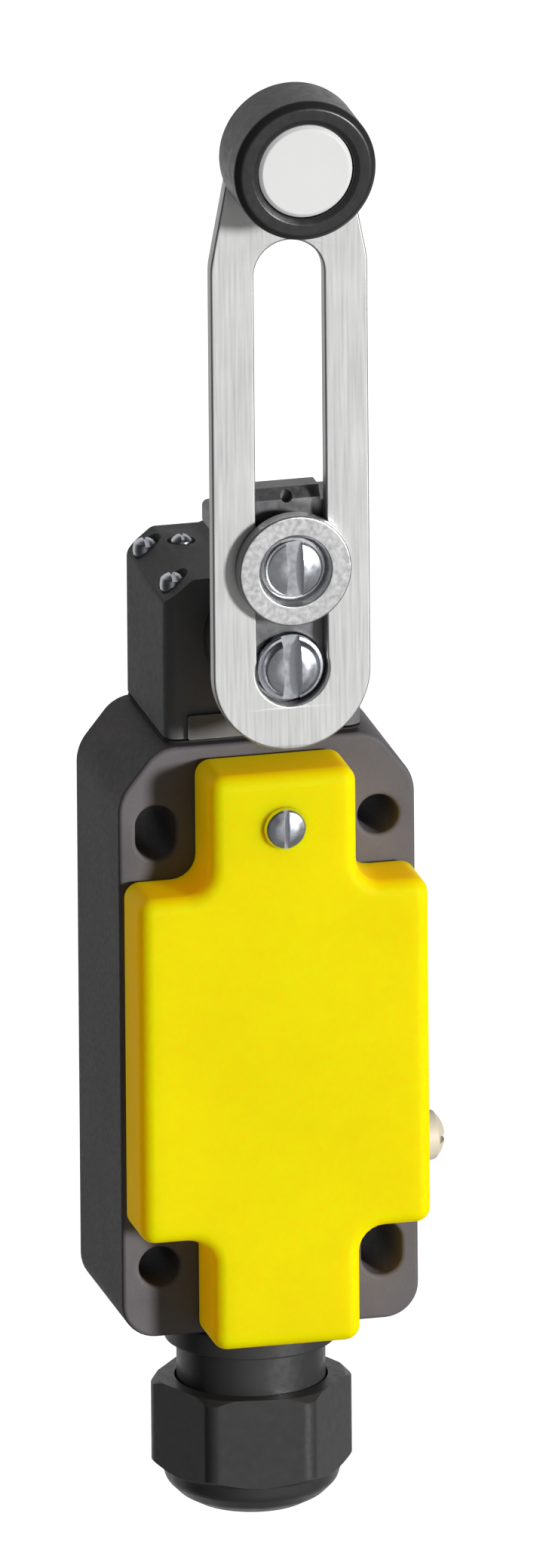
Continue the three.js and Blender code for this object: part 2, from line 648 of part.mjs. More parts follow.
function glandBody() {
  const bore = 6.4;
  return turned('z', [
    [bore, NECK_BOTTOM + 0.1], [GLAND_RADIUS - 0.5, NECK_BOTTOM + 0.1], [GLAND_RADIUS, NECK_BOTTOM - 0.4],
    [GLAND_RADIUS, BODY_BOTTOM - 1.4], [GLAND_COLLAR_RADIUS, BODY_BOTTOM - 1.4],
    [GLAND_COLLAR_RADIUS, BODY_BOTTOM - 4.5], [GLAND_RADIUS, BODY_BOTTOM - 4.5],
    [GLAND_RADIUS, GLAND_NUT_TOP - 6.5], [bore, GLAND_NUT_TOP - 6.5],
  ], [0, GLAND_Y], ROUND_STEPS);
}

function glandNut() {
  const across = GLAND_NUT_FLATS / 2 / Math.cos(Math.PI / 6);
  const hexagon = Array.from({ length: 6 }, (_, i) => {
    const angle = GLAND_NUT_TURN + i * Math.PI / 3;
    return [across * Math.cos(angle), GLAND_Y + across * Math.sin(angle), 2.4];
  });
  const turnedHull = turned('z', [
    [0, GLAND_NUT_TOP], [across - 1.3, GLAND_NUT_TOP], [across, GLAND_NUT_TOP - 1.1],
    [across, GLAND_NUT_SHOULDER + 1], [GLAND_NUT_FLATS / 2, GLAND_NUT_SHOULDER - 0.2],
    [11.2, GLAND_NUT_SHOULDER - 2], [9.6, GLAND_NUT_SHOULDER - 3.6], [7.6, GLAND_NUT_END], [0, GLAND_NUT_END],
  ], [0, GLAND_Y], 48);
  const bore = turned('z', [
    [0, GLAND_NUT_TOP + 1], [GLAND_RADIUS + 0.3, GLAND_NUT_TOP + 1], [GLAND_RADIUS + 0.3, GLAND_NUT_SHOULDER + 3.6],
    [8.4, GLAND_NUT_SHOULDER + 0.6], [5.6, GLAND_NUT_SHOULDER - 1.6], [5.6, GLAND_NUT_END - 1], [0, GLAND_NUT_END - 1],
  ], [0, GLAND_Y], ROUND_STEPS);
  const body = slabZ(rounded(hexagon, 2), [GLAND_NUT_END - 1, GLAND_NUT_TOP + 1]).intersect(turnedHull);
  return cut(body, bore);
}

function glandSeal() {
  return turned('z', [
    [CABLE_RADIUS, GLAND_NUT_TOP + 1], [6.1, GLAND_NUT_TOP + 1], [6.1, GLAND_NUT_TOP - 6.8],
    [7.6, GLAND_NUT_TOP - 6.8], [7.6, GLAND_NUT_SHOULDER + 1.4], [5.3, GLAND_NUT_SHOULDER - 0.6],
    [CABLE_RADIUS, GLAND_NUT_SHOULDER - 0.6],
  ], [0, GLAND_Y], 32);
}

// ---------------------------------------------------------------- every piece

place('housing', housing(), DARK_BODY);

place('cover', cover(), YELLOW);
place('cover_seal', coverSeal(), BLACK_RUBBER);
place('cover_screw', screwY([0, COVER_SCREW_Z], {
  head: 2.85, front: COVER_FRONT - 1.7, back: COVER_FRONT - 0.1, shank: 1.35, end: FRONT + 3.2, slot: 0.8,
}), ZINC);

place('head_housing', headHousing(), HEAD_GREY);
place('head_gasket', headGasket(), BLACK_RUBBER);
for (const [sideName, x] of SIDES) {
  HEAD_SCREW_YS.forEach((y, i) => {
    place(`head_screw_${['front', 'rear'][i]}_${sideName}`, screwDown([x * HEAD_SCREW_X, y], {
      head: 1.65, seat: HEAD_SCREW_SEAT + GAP, height: 2.2, shank: 1.1, end: BODY_TOP - 5, slot: 0.6,
    }), ZINC);
  });
}
place('spring_anchor_screw', screwDown([ANCHOR_X, ANCHOR_Y], {
  head: 1.5, seat: ANCHOR_SEAT + GAP, height: 2.2, shank: 0.7, end: ANCHOR_SEAT - 5, slot: 0.4,
}), ZINC);

place('shaft_bushing', shaftBushing(), BRASS);
place('shaft', shaft(), STEEL);
place('shaft_cam', shaftCam(), CREAM_PLASTIC);
place('shaft_circlip', cut(
  sleeve('y', [3.4, 5.6], [HEAD_FRONT + 17.5, HEAD_FRONT + 18.2], [0, SHAFT_Z]),
  box([-1, 1], [HEAD_FRONT + 17, HEAD_FRONT + 19], [SHAFT_Z + 2, SHAFT_Z + 8]),
), STEEL);
place('return_spring', sleeve('y', [4.4, 6], [HEAD_FRONT + 5.4, BLOCK_Y - 3.5], [0, SHAFT_Z]), STEEL);

place('lever_hub', leverHub(), DARK_METAL);
place('shaft_end_screw', join(
  screwY([0, SHAFT_Z], {
    head: 3.95, front: PLATE_FRONT - 0.6, back: HUB_FRONT + 1.9, shank: 1.4, end: HUB_FRONT + 8, slot: 2.4,
  }),
  sleeve('y', [3.5, SLOT_RADIUS - GAP], [PLATE_FRONT + 0.7, PLATE_FRONT + 1.7], [0, SHAFT_Z]),
), ZINC);
place('clamp_nut', clampNut(), ZINC);
place('clamp_washer', clampWasher(), STEEL);
place('clamp_screw', screwY([0, CLAMP_Z], {
  head: 3.9, front: PLATE_FRONT - 2.5, back: PLATE_FRONT - 1.1, shank: 2.45, end: HUB_BACK + 0.1, slot: 2.2,
}), ZINC);

place('lever_plate', leverPlate(), STEEL);
place('roller_pin', rollerPin(), STEEL);
place('roller_spacer', sleeve('y', [2.25, 3.8], [ROLLER_BACK + 0.1, PLATE_FRONT - 0.1], [0, ROLLER_Z]), STEEL);
place('roller_tyre', rollerTyre(), BLACK_PLASTIC);
place('roller_hub', rollerHub(), LIGHT_PLASTIC);

place('follower', follower(), CREAM_PLASTIC);
place('follower_spring', sleeve('z', [2.8, 3.8], [BODY_TOP + 0.4, FOLLOWER_TOP - 1.8], [0, BLOCK_Y]), STEEL);
place('contact_base', contactBase(), BLACK_PLASTIC);
place('contact_carrier', contactCarrier(), CREAM_PLASTIC);
place('carrier_spring', sleeve('z', [1.7, 2.5], [BLOCK_Z[0] + 1.2, -9.3], [0, BLOCK_Y]), STEEL);
place('closed_contact_bridge', bridge(CLOSED_BRIDGE_Z, 1), COPPER);
place('open_contact_bridge', bridge(OPEN_BRIDGE_Z, -1), COPPER);
for (const [sideName, side] of SIDES) {
  const tongues = [CLOSED_BRIDGE_Z + 1.55, OPEN_BRIDGE_Z - CONTACT_TRAVEL - 1.55];
  ['closed', 'open'].forEach((kind, i) => {
    place(`${kind}_terminal_${sideName}`, terminal(side, TERMINAL_ZS[i], tongues[i]), BRASS);
    place(`${kind}_terminal_screw_${sideName}`, screwY([side * TERMINAL_X, TERMINAL_ZS[i]], {
      head: 2.6, front: BLOCK_FRONT - 3.6, back: BLOCK_FRONT - 1.7, shank: 1.3, end: -11, slot: 0.8,
    }), ZINC);
  });
  place(`block_screw_${sideName}`, screwY([side * TERMINAL_X, 14.3], {
    head: 2.1, front: BLOCK_FRONT - 1.8, back: BLOCK_FRONT - GAP, shank: 1.1, end: -1.2, slot: 0.6,
  }), ZINC);
}

place('earth_washer', sleeve('x', [2, 3.7], [HALF_WIDTH + GAP, HALF_WIDTH + 1.2], [EARTH_Y, EARTH_Z]), BRASS);
place('earth_screw', turned('x', [
  [0, HALF_WIDTH + 5.4], [2.6, HALF_WIDTH + 5.4], [3.5, HALF_WIDTH + 4.6], [3.5, HALF_WIDTH + 1.5],
  [1.6, HALF_WIDTH + 1.5], [1.6, 16], [0, 16],
], [EARTH_Y, EARTH_Z]), CREAM_PLASTIC);

place('gland_body', glandBody(), BLACK_PLASTIC);
place('gland_ring', sleeve('z', [GLAND_RADIUS + 0.1, GLAND_RADIUS + 1.1],
  [BODY_BOTTOM - 1.2, BODY_BOTTOM - 0.2], [0, GLAND_Y]), BLACK_RUBBER);
place('gland_nut', glandNut(), BLACK_PLASTIC);
place('gland_seal', glandSeal(), BLACK_RUBBER);

export default limitSwitch;
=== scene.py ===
"""A limit switch with an adjustable roller lever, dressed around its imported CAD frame.

Lengths below are millimetres in the row frame: the back face is y = 0, the front looks along -Y.
"""

import json
import math

import bmesh
import bpy
from mathutils import Matrix, Vector
from mathutils.geometry import tessellate_polygon


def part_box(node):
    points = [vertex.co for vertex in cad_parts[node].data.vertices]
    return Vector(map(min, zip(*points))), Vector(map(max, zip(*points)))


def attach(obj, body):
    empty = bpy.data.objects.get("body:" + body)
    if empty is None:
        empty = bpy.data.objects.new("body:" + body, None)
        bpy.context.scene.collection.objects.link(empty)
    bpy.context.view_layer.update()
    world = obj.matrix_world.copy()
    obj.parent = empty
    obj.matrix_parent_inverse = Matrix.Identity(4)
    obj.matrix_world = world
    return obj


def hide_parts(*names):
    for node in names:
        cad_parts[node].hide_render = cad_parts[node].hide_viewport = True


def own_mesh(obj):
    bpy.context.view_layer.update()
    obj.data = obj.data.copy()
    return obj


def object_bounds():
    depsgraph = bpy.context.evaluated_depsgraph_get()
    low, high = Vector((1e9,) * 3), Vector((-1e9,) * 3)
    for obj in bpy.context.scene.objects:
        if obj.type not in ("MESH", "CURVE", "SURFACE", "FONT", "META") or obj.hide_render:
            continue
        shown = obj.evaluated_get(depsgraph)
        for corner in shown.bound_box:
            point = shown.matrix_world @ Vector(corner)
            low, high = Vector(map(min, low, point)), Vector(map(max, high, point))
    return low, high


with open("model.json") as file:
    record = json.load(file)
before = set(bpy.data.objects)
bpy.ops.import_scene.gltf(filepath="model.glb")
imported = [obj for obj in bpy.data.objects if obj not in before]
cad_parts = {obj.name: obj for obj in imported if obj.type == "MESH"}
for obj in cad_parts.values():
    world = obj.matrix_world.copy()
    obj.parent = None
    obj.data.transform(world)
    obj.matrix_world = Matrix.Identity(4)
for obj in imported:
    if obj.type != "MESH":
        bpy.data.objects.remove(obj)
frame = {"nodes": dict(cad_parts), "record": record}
cad_low, cad_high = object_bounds()

MM = 0.001
ROUND = 96                      # sides of large turned pieces
SMALL = 48                      # sides of small ones
FINE = 128                      # sides of those that show most
QUARTER = math.pi / 2


def span(node):
    """The node's (x0, x1), (y0, y1), (z0, z1) in millimetres."""
    low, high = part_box(node)
    return [(low[i] / MM, high[i] / MM) for i in range(3)]


def middle(pair):
    return (pair[0] + pair[1]) / 2


# ---------------------------------------------------------------- outlines and meshes


def arc(centre, radius, start, end, steps):
    """Points on a circle, both ends included."""
    angles = [start + (end - start) * i / steps for i in range(steps + 1)]
    return [(centre[0] + radius * math.cos(a), centre[1] + radius * math.sin(a)) for a in angles]


def rounded(corners, closed=True, steps=6):
    """A line through corners (u, v, radius), each corner with a radius replaced by an arc."""
    points = []
    count = len(corners)
    for i, (u, v, radius) in enumerate(corners):
        at_end = not closed and i in (0, count - 1)
        if not radius or at_end:
            points.append((u, v))
            continue
        corner = Vector((u, v))
        before = (Vector(corners[i - 1][:2]) - corner).normalized()
        after = (Vector(corners[(i + 1) % count][:2]) - corner).normalized()
        half = before.angle(after) / 2
        centre = corner + (before + after).normalized() * radius / math.sin(half)
        start = corner + before * radius / math.tan(half) - centre
        sweep = start.angle_signed(corner + after * radius / math.tan(half) - centre)
        turn = math.atan2(start.y, start.x)
        points += arc(centre, radius, turn, turn - sweep, steps)
    return points


def rectangle(xs, zs, radius):
    (x0, x1), (z0, z1) = xs, zs
    return rounded([(x0, z0, radius), (x1, z0, radius), (x1, z1, radius), (x0, z1, radius)])


def cross(wide_x, wide_z, end_x, low, high, inner, outer):
    """The outline shared by the cover, its seal and the housing's room."""
    low_z, high_z = wide_z
    return rounded([
        (-wide_x, low_z, outer), (-end_x, low_z, inner), (-end_x, low, outer), (end_x, low, outer),
        (end_x, low_z, inner), (wide_x, low_z, outer), (wide_x, high_z, outer), (end_x, high_z, inner),
        (end_x, high, outer), (-end_x, high, outer), (-end_x, high_z, inner), (-wide_x, high_z, outer),
    ])


def circle(centre, radius, steps=SMALL):
    return arc(centre, radius, 0, 2 * math.pi, steps)[:-1]


def upright_slot(centre, radius, travel, steps=24):
    x, z = centre
    low = arc((x, z - travel / 2), radius, math.pi, 2 * math.pi, steps)
    high = arc((x, z + travel / 2), radius, 0, math.pi, steps)
    return low + high


AXES = {
    "x": lambda u, v, along: (along, u, v),
    "y": lambda u, v, along: (u, along, v),
    "z": lambda u, v, along: (u, v, along),
}


def mesh_object(name, vertices, faces):
    mesh = bpy.data.meshes.new(name)
    mesh.from_pydata([[c * MM for c in vertex] for vertex in vertices], [], faces)
    work = bmesh.new()
    work.from_mesh(mesh)
    bmesh.ops.remove_doubles(work, verts=work.verts, dist=1e-7)
    bmesh.ops.recalc_face_normals(work, faces=work.faces)
    work.to_mesh(mesh)
    work.free()
    piece = bpy.data.objects.new(name, mesh)
    bpy.context.scene.collection.objects.link(piece)
    return piece


def turned(name, axis, profile, centre, steps=ROUND):
    """A turned piece from corners (radius, along, rounding), closed through the axis or on itself."""
    open_line = profile[0][0] == 0 and profile[-1][0] == 0
    line = rounded(profile, closed=not open_line)
    place = AXES[axis]
    rings = []
    vertices = []
    for radius, along in line:
        sides = 1 if radius == 0 else steps
        rings.append(range(len(vertices), len(vertices) + sides))
        for i in range(sides):
            turn = 2 * math.pi * i / steps
            u, v = centre[0] + radius * math.cos(turn), centre[1] + radius * math.sin(turn)
            vertices.append(place(u, v, along))
    faces = []
    pairs = list(zip(rings, rings[1:])) + ([] if open_line else [(rings[-1], rings[0])])
    for a, b in pairs:
        for i in range(steps):
            j = (i + 1) % steps
            corners = [a[i % len(a)], a[j % len(a)], b[j % len(b)], b[i % len(b)]]
            face = list(dict.fromkeys(corners))
            if len(face) > 2:
                faces.append(face)
    return mesh_object(name, vertices, faces)


def area(loop):
    return sum(a[0] * b[1] - b[0] * a[1] for a, b in zip(loop, loop[1:] + loop[:1])) / 2


def inset(loop, depth):
    """The loop moved sideways into the material, which lies to its left."""
    moved = []
    count = len(loop)
    for i in range(count):
        before = (Vector(loop[i]) - Vector(loop[i - 1])).normalized()
        after = (Vector(loop[(i + 1) % count]) - Vector(loop[i])).normalized()
        left_a, left_b = Vector((-before.y, before.x)), Vector((-after.y, after.x))
        shift = (left_a + left_b) / max(0.2, 1 + left_a.dot(left_b))
        moved.append((loop[i][0] + shift.x * depth, loop[i][1] + shift.y * depth))
    return moved


def slab(name, axis, loops, ends, rims=(0, 0), steps=5):
    """A plate with holes: the first loop is the outline. Each end can have a rounded rim."""
    outer, *holes = [list(loop) for loop in loops]
    sided = [outer if area(outer) > 0 else outer[::-1]]
    sided += [hole if area(hole) < 0 else hole[::-1] for hole in holes]
    place = AXES[axis]
    (low, high), (low_rim, high_rim) = ends, rims
    stations = []
    if low_rim:
        turns = [QUARTER * i / steps for i in range(steps + 1)]
        stations += [(low_rim * (1 - math.sin(t)), low + low_rim * (1 - math.cos(t))) for t in turns]
    else:
        stations.append((0, low))
    if high_rim:
        turns = [QUARTER * i / steps for i in range(steps, -1, -1)]
        stations += [(high_rim * (1 - math.sin(t)), high - high_rim * (1 - math.cos(t))) for t in turns]
    else:
        stations.append((0, high))
    vertices, faces = [], []
    total = sum(len(loop) for loop in sided)
    for depth, along in stations:
        for loop in sided:
            vertices += [place(u, v, along) for u, v in (inset(loop, depth) if depth else loop)]
    for level in range(len(stations) - 1):
        start = level * total
        for loop in sided:
            count = len(loop)
            for i in range(count):
                j = (i + 1) % count
                faces.append([start + i, start + j, start + total + j, start + total + i])
            start += count
    for level in (0, len(stations) - 1):
        depth = stations[level][0]
        caps = [[Vector((u, v, 0)) for u, v in (inset(loop, depth) if depth else loop)] for loop in sided]
        faces += [[level * total + i for i in triangle] for triangle in tessellate_polygon(caps)]
    return mesh_object(name, vertices, faces)


def block(name, xs, ys, zs):
    corners = [(x, y, z) for x in xs for y in ys for z in zs]
    faces = [(0, 1, 3, 2), (4, 5, 7, 6), (0, 1, 5, 4), (2, 3, 7, 6), (0, 2, 6, 4), (1, 3, 7, 5)]
    return mesh_object(name, corners, faces)


def coil(name, axis, centre, ends, radius, wire, turns, steps=28, sides=12):
    """A wound wire with closed ends."""
    place = AXES[axis]
    low, high = ends[0] + wire, ends[1] - wire
    count = round(turns * steps)
    vertices, faces = [], []
    for i in range(count + 1):
        turn = 2 * math.pi * i / steps
        along = low + (high - low) * i / count
        for k in range(sides):
            bend = 2 * math.pi * k / sides
            reach = radius + wire * math.cos(bend)
            u, v = centre[0] + reach * math.cos(turn), centre[1] + reach * math.sin(turn)
            vertices.append(place(u, v, along + wire * math.sin(bend)))
    for i in range(count):
        for k in range(sides):
            a, b = i * sides + k, i * sides + (k + 1) % sides
            faces.append([a, b, b + sides, a + sides])
    faces += [list(range(sides)), list(range(count * sides, (count + 1) * sides))]
    return mesh_object(name, vertices, faces)


def combine(base, kind, *tools):
    """Joins, cuts or intersects the base with the tools, one after another, and removes the tools."""
    for tool in tools:
        step = base.modifiers.new("combine", "BOOLEAN")
        step.operation = kind
        step.solver = "EXACT"
        step.object = tool
        depsgraph = bpy.context.evaluated_depsgraph_get()
        result = bpy.data.meshes.new_from_object(base.evaluated_get(depsgraph))
        base.modifiers.clear()
        base.data = result
    for tool in tools:
        bpy.data.objects.remove(tool)
    return base


def cut(base, *tools):
    return combine(base, "DIFFERENCE", *tools)


def join(base, *tools):
    return combine(base, "UNION", *tools)


def soften(piece, width, angle=35, segments=3):
    """Rounds every edge sharper than the angle."""
    bevel = piece.modifiers.new("rounding", "BEVEL")
    bevel.width = width * MM
    bevel.segments = segments
    bevel.limit_method = "ANGLE"
    bevel.angle_limit = math.radians(angle)
    bevel.use_clamp_overlap = True
    bevel.harden_normals = False
    return piece


def smooth(piece, angle=32):
    piece.data.shade_smooth()
    piece.data.set_sharp_from_angle(angle=math.radians(angle))
    normals = piece.modifiers.new("flat faces", "WEIGHTED_NORMAL")
    normals.keep_sharp = True
    return piece


def finish_piece(piece, node, material, angle=32):
    """Gives a detailed mesh its finish and lets it stand for its CAD node."""
    smooth(piece, angle)
    piece.data.materials.clear()
    piece.data.materials.append(material)
    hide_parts(node)
    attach(piece, body_of[node])
    return piece


body_of = {node: body for body, nodes in frame["record"]["behaviour"]["bodies"].items() for node in nodes}

# ---------------------------------------------------------------- materials


class Shader:
    """A small helper to write node materials in few lines."""

    def __init__(self, name):
        self.material = bpy.data.materials.new(name)
        self.material.use_nodes = True
        self.tree = self.material.node_tree
        self.surface = self.tree.nodes["Principled BSDF"]
        self.place = self.add("ShaderNodeTexCoord").outputs["Object"]

    def add(self, kind, **values):
        node = self.tree.nodes.new(kind)
        for key, value in values.items():
            if hasattr(node, key):
                setattr(node, key, value)
            else:
                node.inputs[key.replace("_", " ").title()].default_value = value
        return node

    def link(self, source, target):
        self.tree.links.new(source, target)

    def set(self, **values):
        for key, value in values.items():
            self.surface.inputs[key.replace("_", " ").title().replace("Ior", "IOR")].default_value = value

    def noise(self, scale, detail=4, stretch=(1, 1, 1), roughness=0.55):
        mapping = self.add("ShaderNodeMapping")
        mapping.inputs["Scale"].default_value = stretch
        self.link(self.place, mapping.inputs["Vector"])
        texture = self.add("ShaderNodeTexNoise", Scale=scale, Detail=detail, Roughness=roughness)
        self.link(mapping.outputs["Vector"], texture.inputs["Vector"])
        return texture.outputs["Fac"]

    def cells(self, scale):
        texture = self.add("ShaderNodeTexVoronoi", feature="SMOOTH_F1", Scale=scale)
        self.link(self.place, texture.inputs["Vector"])
        return texture.outputs["Distance"]

    def ramp(self, source, low, high, start=0.0, end=1.0):
        """The source's range from low to high, spread from start to end."""
        step = self.add("ShaderNodeMapRange")
        for key, value in (("From Min", low), ("From Max", high), ("To Min", start), ("To Max", end)):
            step.inputs[key].default_value = value
        self.link(source, step.inputs["Value"])
        return step.outputs["Result"]

    def blend(self, share, first, second):
        """A colour between two, each a colour or another node's output."""
        mix = self.add("ShaderNodeMix", data_type="RGBA")
        self.link(share, mix.inputs["Factor"])
        for socket, value in ((mix.inputs[6], first), (mix.inputs[7], second)):
            if isinstance(value, tuple):
                socket.default_value = (*value, 1)
            else:
                self.link(value, socket)
        return mix.outputs[2]

    def edges(self, radius):
        """Near 1 on rounded or sharp edges and 0 on flats."""
        bevel = self.add("ShaderNodeBevel", samples=6)
        bevel.inputs["Radius"].default_value = radius * MM
        true = self.add("ShaderNodeNewGeometry").outputs["Normal"]
        match = self.add("ShaderNodeVectorMath", operation="DOT_PRODUCT")
        self.link(bevel.outputs["Normal"], match.inputs[0])
        self.link(true, match.inputs[1])
        return self.ramp(match.outputs["Value"], 0.985, 0.9)

    def bump(self, height, strength, distance):
        step = self.add("ShaderNodeBump", Strength=strength, Distance=distance * MM)
        self.link(height, step.inputs["Height"])
        previous = self.surface.inputs["Normal"].links
        if previous:
            self.link(previous[0].from_socket, step.inputs["Normal"])
        self.link(step.outputs["Normal"], self.surface.inputs["Normal"])

    def colour(self, source):
        self.link(source, self.surface.inputs["Base Color"])

    def roughness(self, source):
        self.link(source, self.surface.inputs["Roughness"])


def scaled(colour, factor):
    return tuple(min(1.0, c * factor) for c in colour)


def cast_coat(name, colour, worn):
    """Powder coat on a casting: fine orange peel, faint patches, lighter worn edges."""
    shader = Shader(name)
    patches = shader.ramp(shader.noise(90, 5), 0.35, 0.65)
    specks = shader.ramp(shader.noise(5200, 3), 0.58, 0.75)
    tone = shader.blend(patches, scaled(colour, 0.9), scaled(colour, 1.12))
    tone = shader.blend(shader.ramp(specks, 0, 1, 0, 0.35), tone, scaled(colour, 1.7))
    wear = shader.edges(0.45)
    rubbed = shader.add("ShaderNodeMath", operation="MULTIPLY")
    shader.link(wear, rubbed.inputs[0])
    shader.link(shader.ramp(shader.noise(700, 6), 0.45, 0.62, 0.15, 0.6), rubbed.inputs[1])
    shader.colour(shader.blend(rubbed.outputs["Value"], tone, worn))
    shader.roughness(shader.ramp(shader.noise(1400, 4), 0.3, 0.7, 0.5, 0.66))
    shader.bump(shader.noise(2600, 3), 0.35, 0.05)
    shader.bump(shader.cells(1500), 0.15, 0.06)
    shader.set(specular_ior_level=0.15)
    return shader.material


GLOW_DEPTH = 5                  # millimetres that light spreads inside the cover
SIDE_GLOW_PAINT_STRENGTH = 0.2               # strength of the painted glow on the cover's side faces


def moulded(name, colour, rough, grain=3200, depth=0.03, sheen_patch=0.06, worn=None, glow=None,
            side_glow_paint=None):
    """Moulded plastic: fine spark-eroded texture, soft patches and slightly polished edges.

    glow is how far each colour spreads inside. The side colour is painted light: it tints the faces that
    don't look to the front and makes them give off a weak painted glow, with no lamp behind them.
    """
    shader = Shader(name)
    patches = shader.ramp(shader.noise(70, 4), 0.35, 0.65)
    tone = shader.blend(patches, scaled(colour, 1 - sheen_patch), scaled(colour, 1 + sheen_patch))
    if side_glow_paint:
        # painted light: faces turned away from the front get a tinted colour and a weak emitted glow
        facing = shader.add("ShaderNodeSeparateXYZ")
        shader.link(shader.add("ShaderNodeTexCoord").outputs["Normal"], facing.inputs[0])
        side_glow_share = shader.ramp(facing.outputs["Y"], -0.95, -0.3)
        tone = shader.blend(side_glow_share, tone, side_glow_paint)
        shader.set(emission_color=(*side_glow_paint, 1))
        shader.link(shader.ramp(side_glow_share, 0, 1, 0, SIDE_GLOW_PAINT_STRENGTH), shader.surface.inputs["Emission Strength"])
    edge = shader.ramp(shader.edges(0.35), 0, 1, 0, 0.3)
    shader.colour(shader.blend(edge, tone, worn or scaled(colour, 1.5)))
    shader.roughness(shader.ramp(shader.noise(grain / 3, 4), 0.3, 0.7, rough - 0.06, rough + 0.08))
    shader.bump(shader.noise(grain, 2), 0.3, depth)
    if glow:
        shader.set(subsurface_weight=1.0, subsurface_radius=glow, subsurface_scale=GLOW_DEPTH * MM)
        shader.set(specular_ior_level=0.05)
    return shader.material


def metal(name, colour, rough, stretch=(1, 1, 1), grain=1600, lines=0.15, stain=0.08):
    """Plated or brushed metal: fine lines along one way, faint stains, brighter edges."""
    shader = Shader(name)
    grains = shader.noise(grain, 5, stretch)
    stains = shader.ramp(shader.noise(160, 5), 0.4, 0.7)
    tone = shader.blend(shader.ramp(grains, 0.3, 0.7), scaled(colour, 1 - stain), scaled(colour, 1 + stain))
    tone = shader.blend(shader.ramp(stains, 0, 1, 0, 0.25), tone, scaled(colour, 0.78))
    edge = shader.ramp(shader.edges(0.2), 0, 1, 0, 0.5)
    shader.colour(shader.blend(edge, tone, scaled(colour, 1.25)))
    shader.set(metallic=1.0)
    shader.roughness(shader.ramp(grains, 0.3, 0.7, rough - 0.05, rough + 0.07))
    shader.bump(grains, lines, 0.02)
    return shader.material


def rubber(name, colour):
    """Matt rubber with a dusty bloom."""
    shader = Shader(name)
    bloom = shader.ramp(shader.noise(240, 6), 0.45, 0.75, 0, 0.5)
    shader.colour(shader.blend(bloom, colour, scaled(colour, 2.2)))
    shader.roughness(shader.ramp(shader.noise(900, 4), 0.3, 0.7, 0.75, 0.92))
    shader.bump(shader.noise(2200, 4), 0.4, 0.05)
    return shader.material


LENGTHWISE = (1, 1, 0.03)       # lines that run along Z

housing_coat = cast_coat("housing_coat", (0.128, 0.118, 0.125), (0.3, 0.29, 0.29))
head_coat = cast_coat("head_coat", (0.155, 0.154, 0.156), (0.3, 0.3, 0.3))
# the cover's sides get a painted orange tint and a painted glow
cover_yellow = moulded("cover_yellow", (0.84, 0.73, 0.001), 0.5, grain=2400, depth=0.035, sheen_patch=0.025,
                       worn=(0.93, 0.78, 0.002), glow=(1.0, 0.5, 0.02), side_glow_paint=(0.95, 0.62, 0.001))
gland_plastic = moulded("gland_plastic", (0.038, 0.038, 0.039), 0.36, grain=2600)
block_plastic = moulded("block_plastic", (0.03, 0.03, 0.032), 0.55)
tread_plastic = moulded("tread_plastic", (0.022, 0.022, 0.023), 0.32, grain=2400, depth=0.04)
pale_plastic = moulded("pale_plastic", (0.73, 0.73, 0.725), 0.48, sheen_patch=0.02, worn=(0.86, 0.86, 0.86))
cream_plastic = moulded("cream_plastic", (0.68, 0.62, 0.48), 0.5, worn=(0.78, 0.73, 0.62))
lever_steel = metal("lever_steel", (0.6, 0.6, 0.595), 0.46, stretch=LENGTHWISE, grain=2600, stain=0.06)
plain_steel = metal("plain_steel", (0.66, 0.66, 0.66), 0.38)
bright_zinc = metal("bright_zinc", (0.66, 0.68, 0.73), 0.3, grain=900, lines=0.2)
dark_zinc = metal("dark_zinc", (0.2, 0.2, 0.205), 0.42, grain=1200, lines=0.3)
spring_steel = metal("spring_steel", (0.45, 0.45, 0.47), 0.3)
brass = metal("brass", (0.62, 0.46, 0.2), 0.34)
copper = metal("copper", (0.66, 0.36, 0.22), 0.32)
seal_rubber = rubber("seal_rubber", (0.018, 0.018, 0.019))

# ---------------------------------------------------------------- housing

(body_x0, body_x1), (body_y0, body_y1), (body_z0, body_z1) = span("housing")
FIX_X, FIX_Z, FIX_RADIUS, FIX_TRAVEL = 15, 30, 2.7, 2
SHOULDER = (5.3, 6.6)
BACK_WALL = 3
ROOM = {
    "wide_x": 17, "wide_z": (-20.6, 20.6), "end_x": 6.8, "low": -34.6, "high": 28.5,
    "inner": 1.5, "outer": 1.5,
}
COVER_SCREW_Z = middle(span("cover_screw")[2])
PLUNGER_Y = middle(span("follower")[1])
GLAND_Y = middle(span("gland_body")[1])
CROWN_RADIUS = 9.1
HEAD_SCREWS = [f"head_screw_{end}_{side}" for end in ("front", "rear") for side in ("left", "right")]


def centre_xy(node):
    xs, ys, _ = span(node)
    return middle(xs), middle(ys)


def make_housing():
    shoulder_x, shoulder_z = body_x1 - SHOULDER[0], body_z1 - SHOULDER[1]
    outline = rounded([
        (body_x0, body_z0, 4.6), (body_x1, body_z0, 4.6), (body_x1, shoulder_z, 6),
        (shoulder_x, body_z1, 5), (-shoulder_x, body_z1, 5), (body_x0, shoulder_z, 6),
    ], steps=10)
    holes = []
    for x in (-FIX_X, FIX_X):
        for z in (-FIX_Z, FIX_Z):
            travel = FIX_TRAVEL if x * z < 0 else 0.01
            holes.append(upright_slot((x, z), FIX_RADIUS, travel))
    piece = slab("housing_casting", "y", [outline, *holes], (body_y0, body_y1), rims=(0.6, 1.0))
    room = slab("room", "y", [cross(**ROOM)], (body_y0 - 1, body_y1 - BACK_WALL), rims=(0, 1.2))
    cutters = [
        room,
        turned("passage", "z", [(0, 24, 0), (3, 24, 0), (3, 44, 0), (0, 44, 0)], (0, PLUNGER_Y), SMALL),
        turned("cover_thread", "y", [(0, -26, 0), (1.6, -26, 0), (1.6, -16.5, 0), (0, -16.5, 0)],
               (0, COVER_SCREW_Z), SMALL),
        turned("gland_bore", "z", [(0, -42, 0), (10.1, -42, 0), (10.1, -34.4, 0), (0, -34.4, 0)],
               (0, GLAND_Y), ROUND),
    ]
    return cut(piece, *cutters)


finish_piece(soften(make_housing(), 0.25, angle=60), "housing", housing_coat)

# ---------------------------------------------------------------- cover

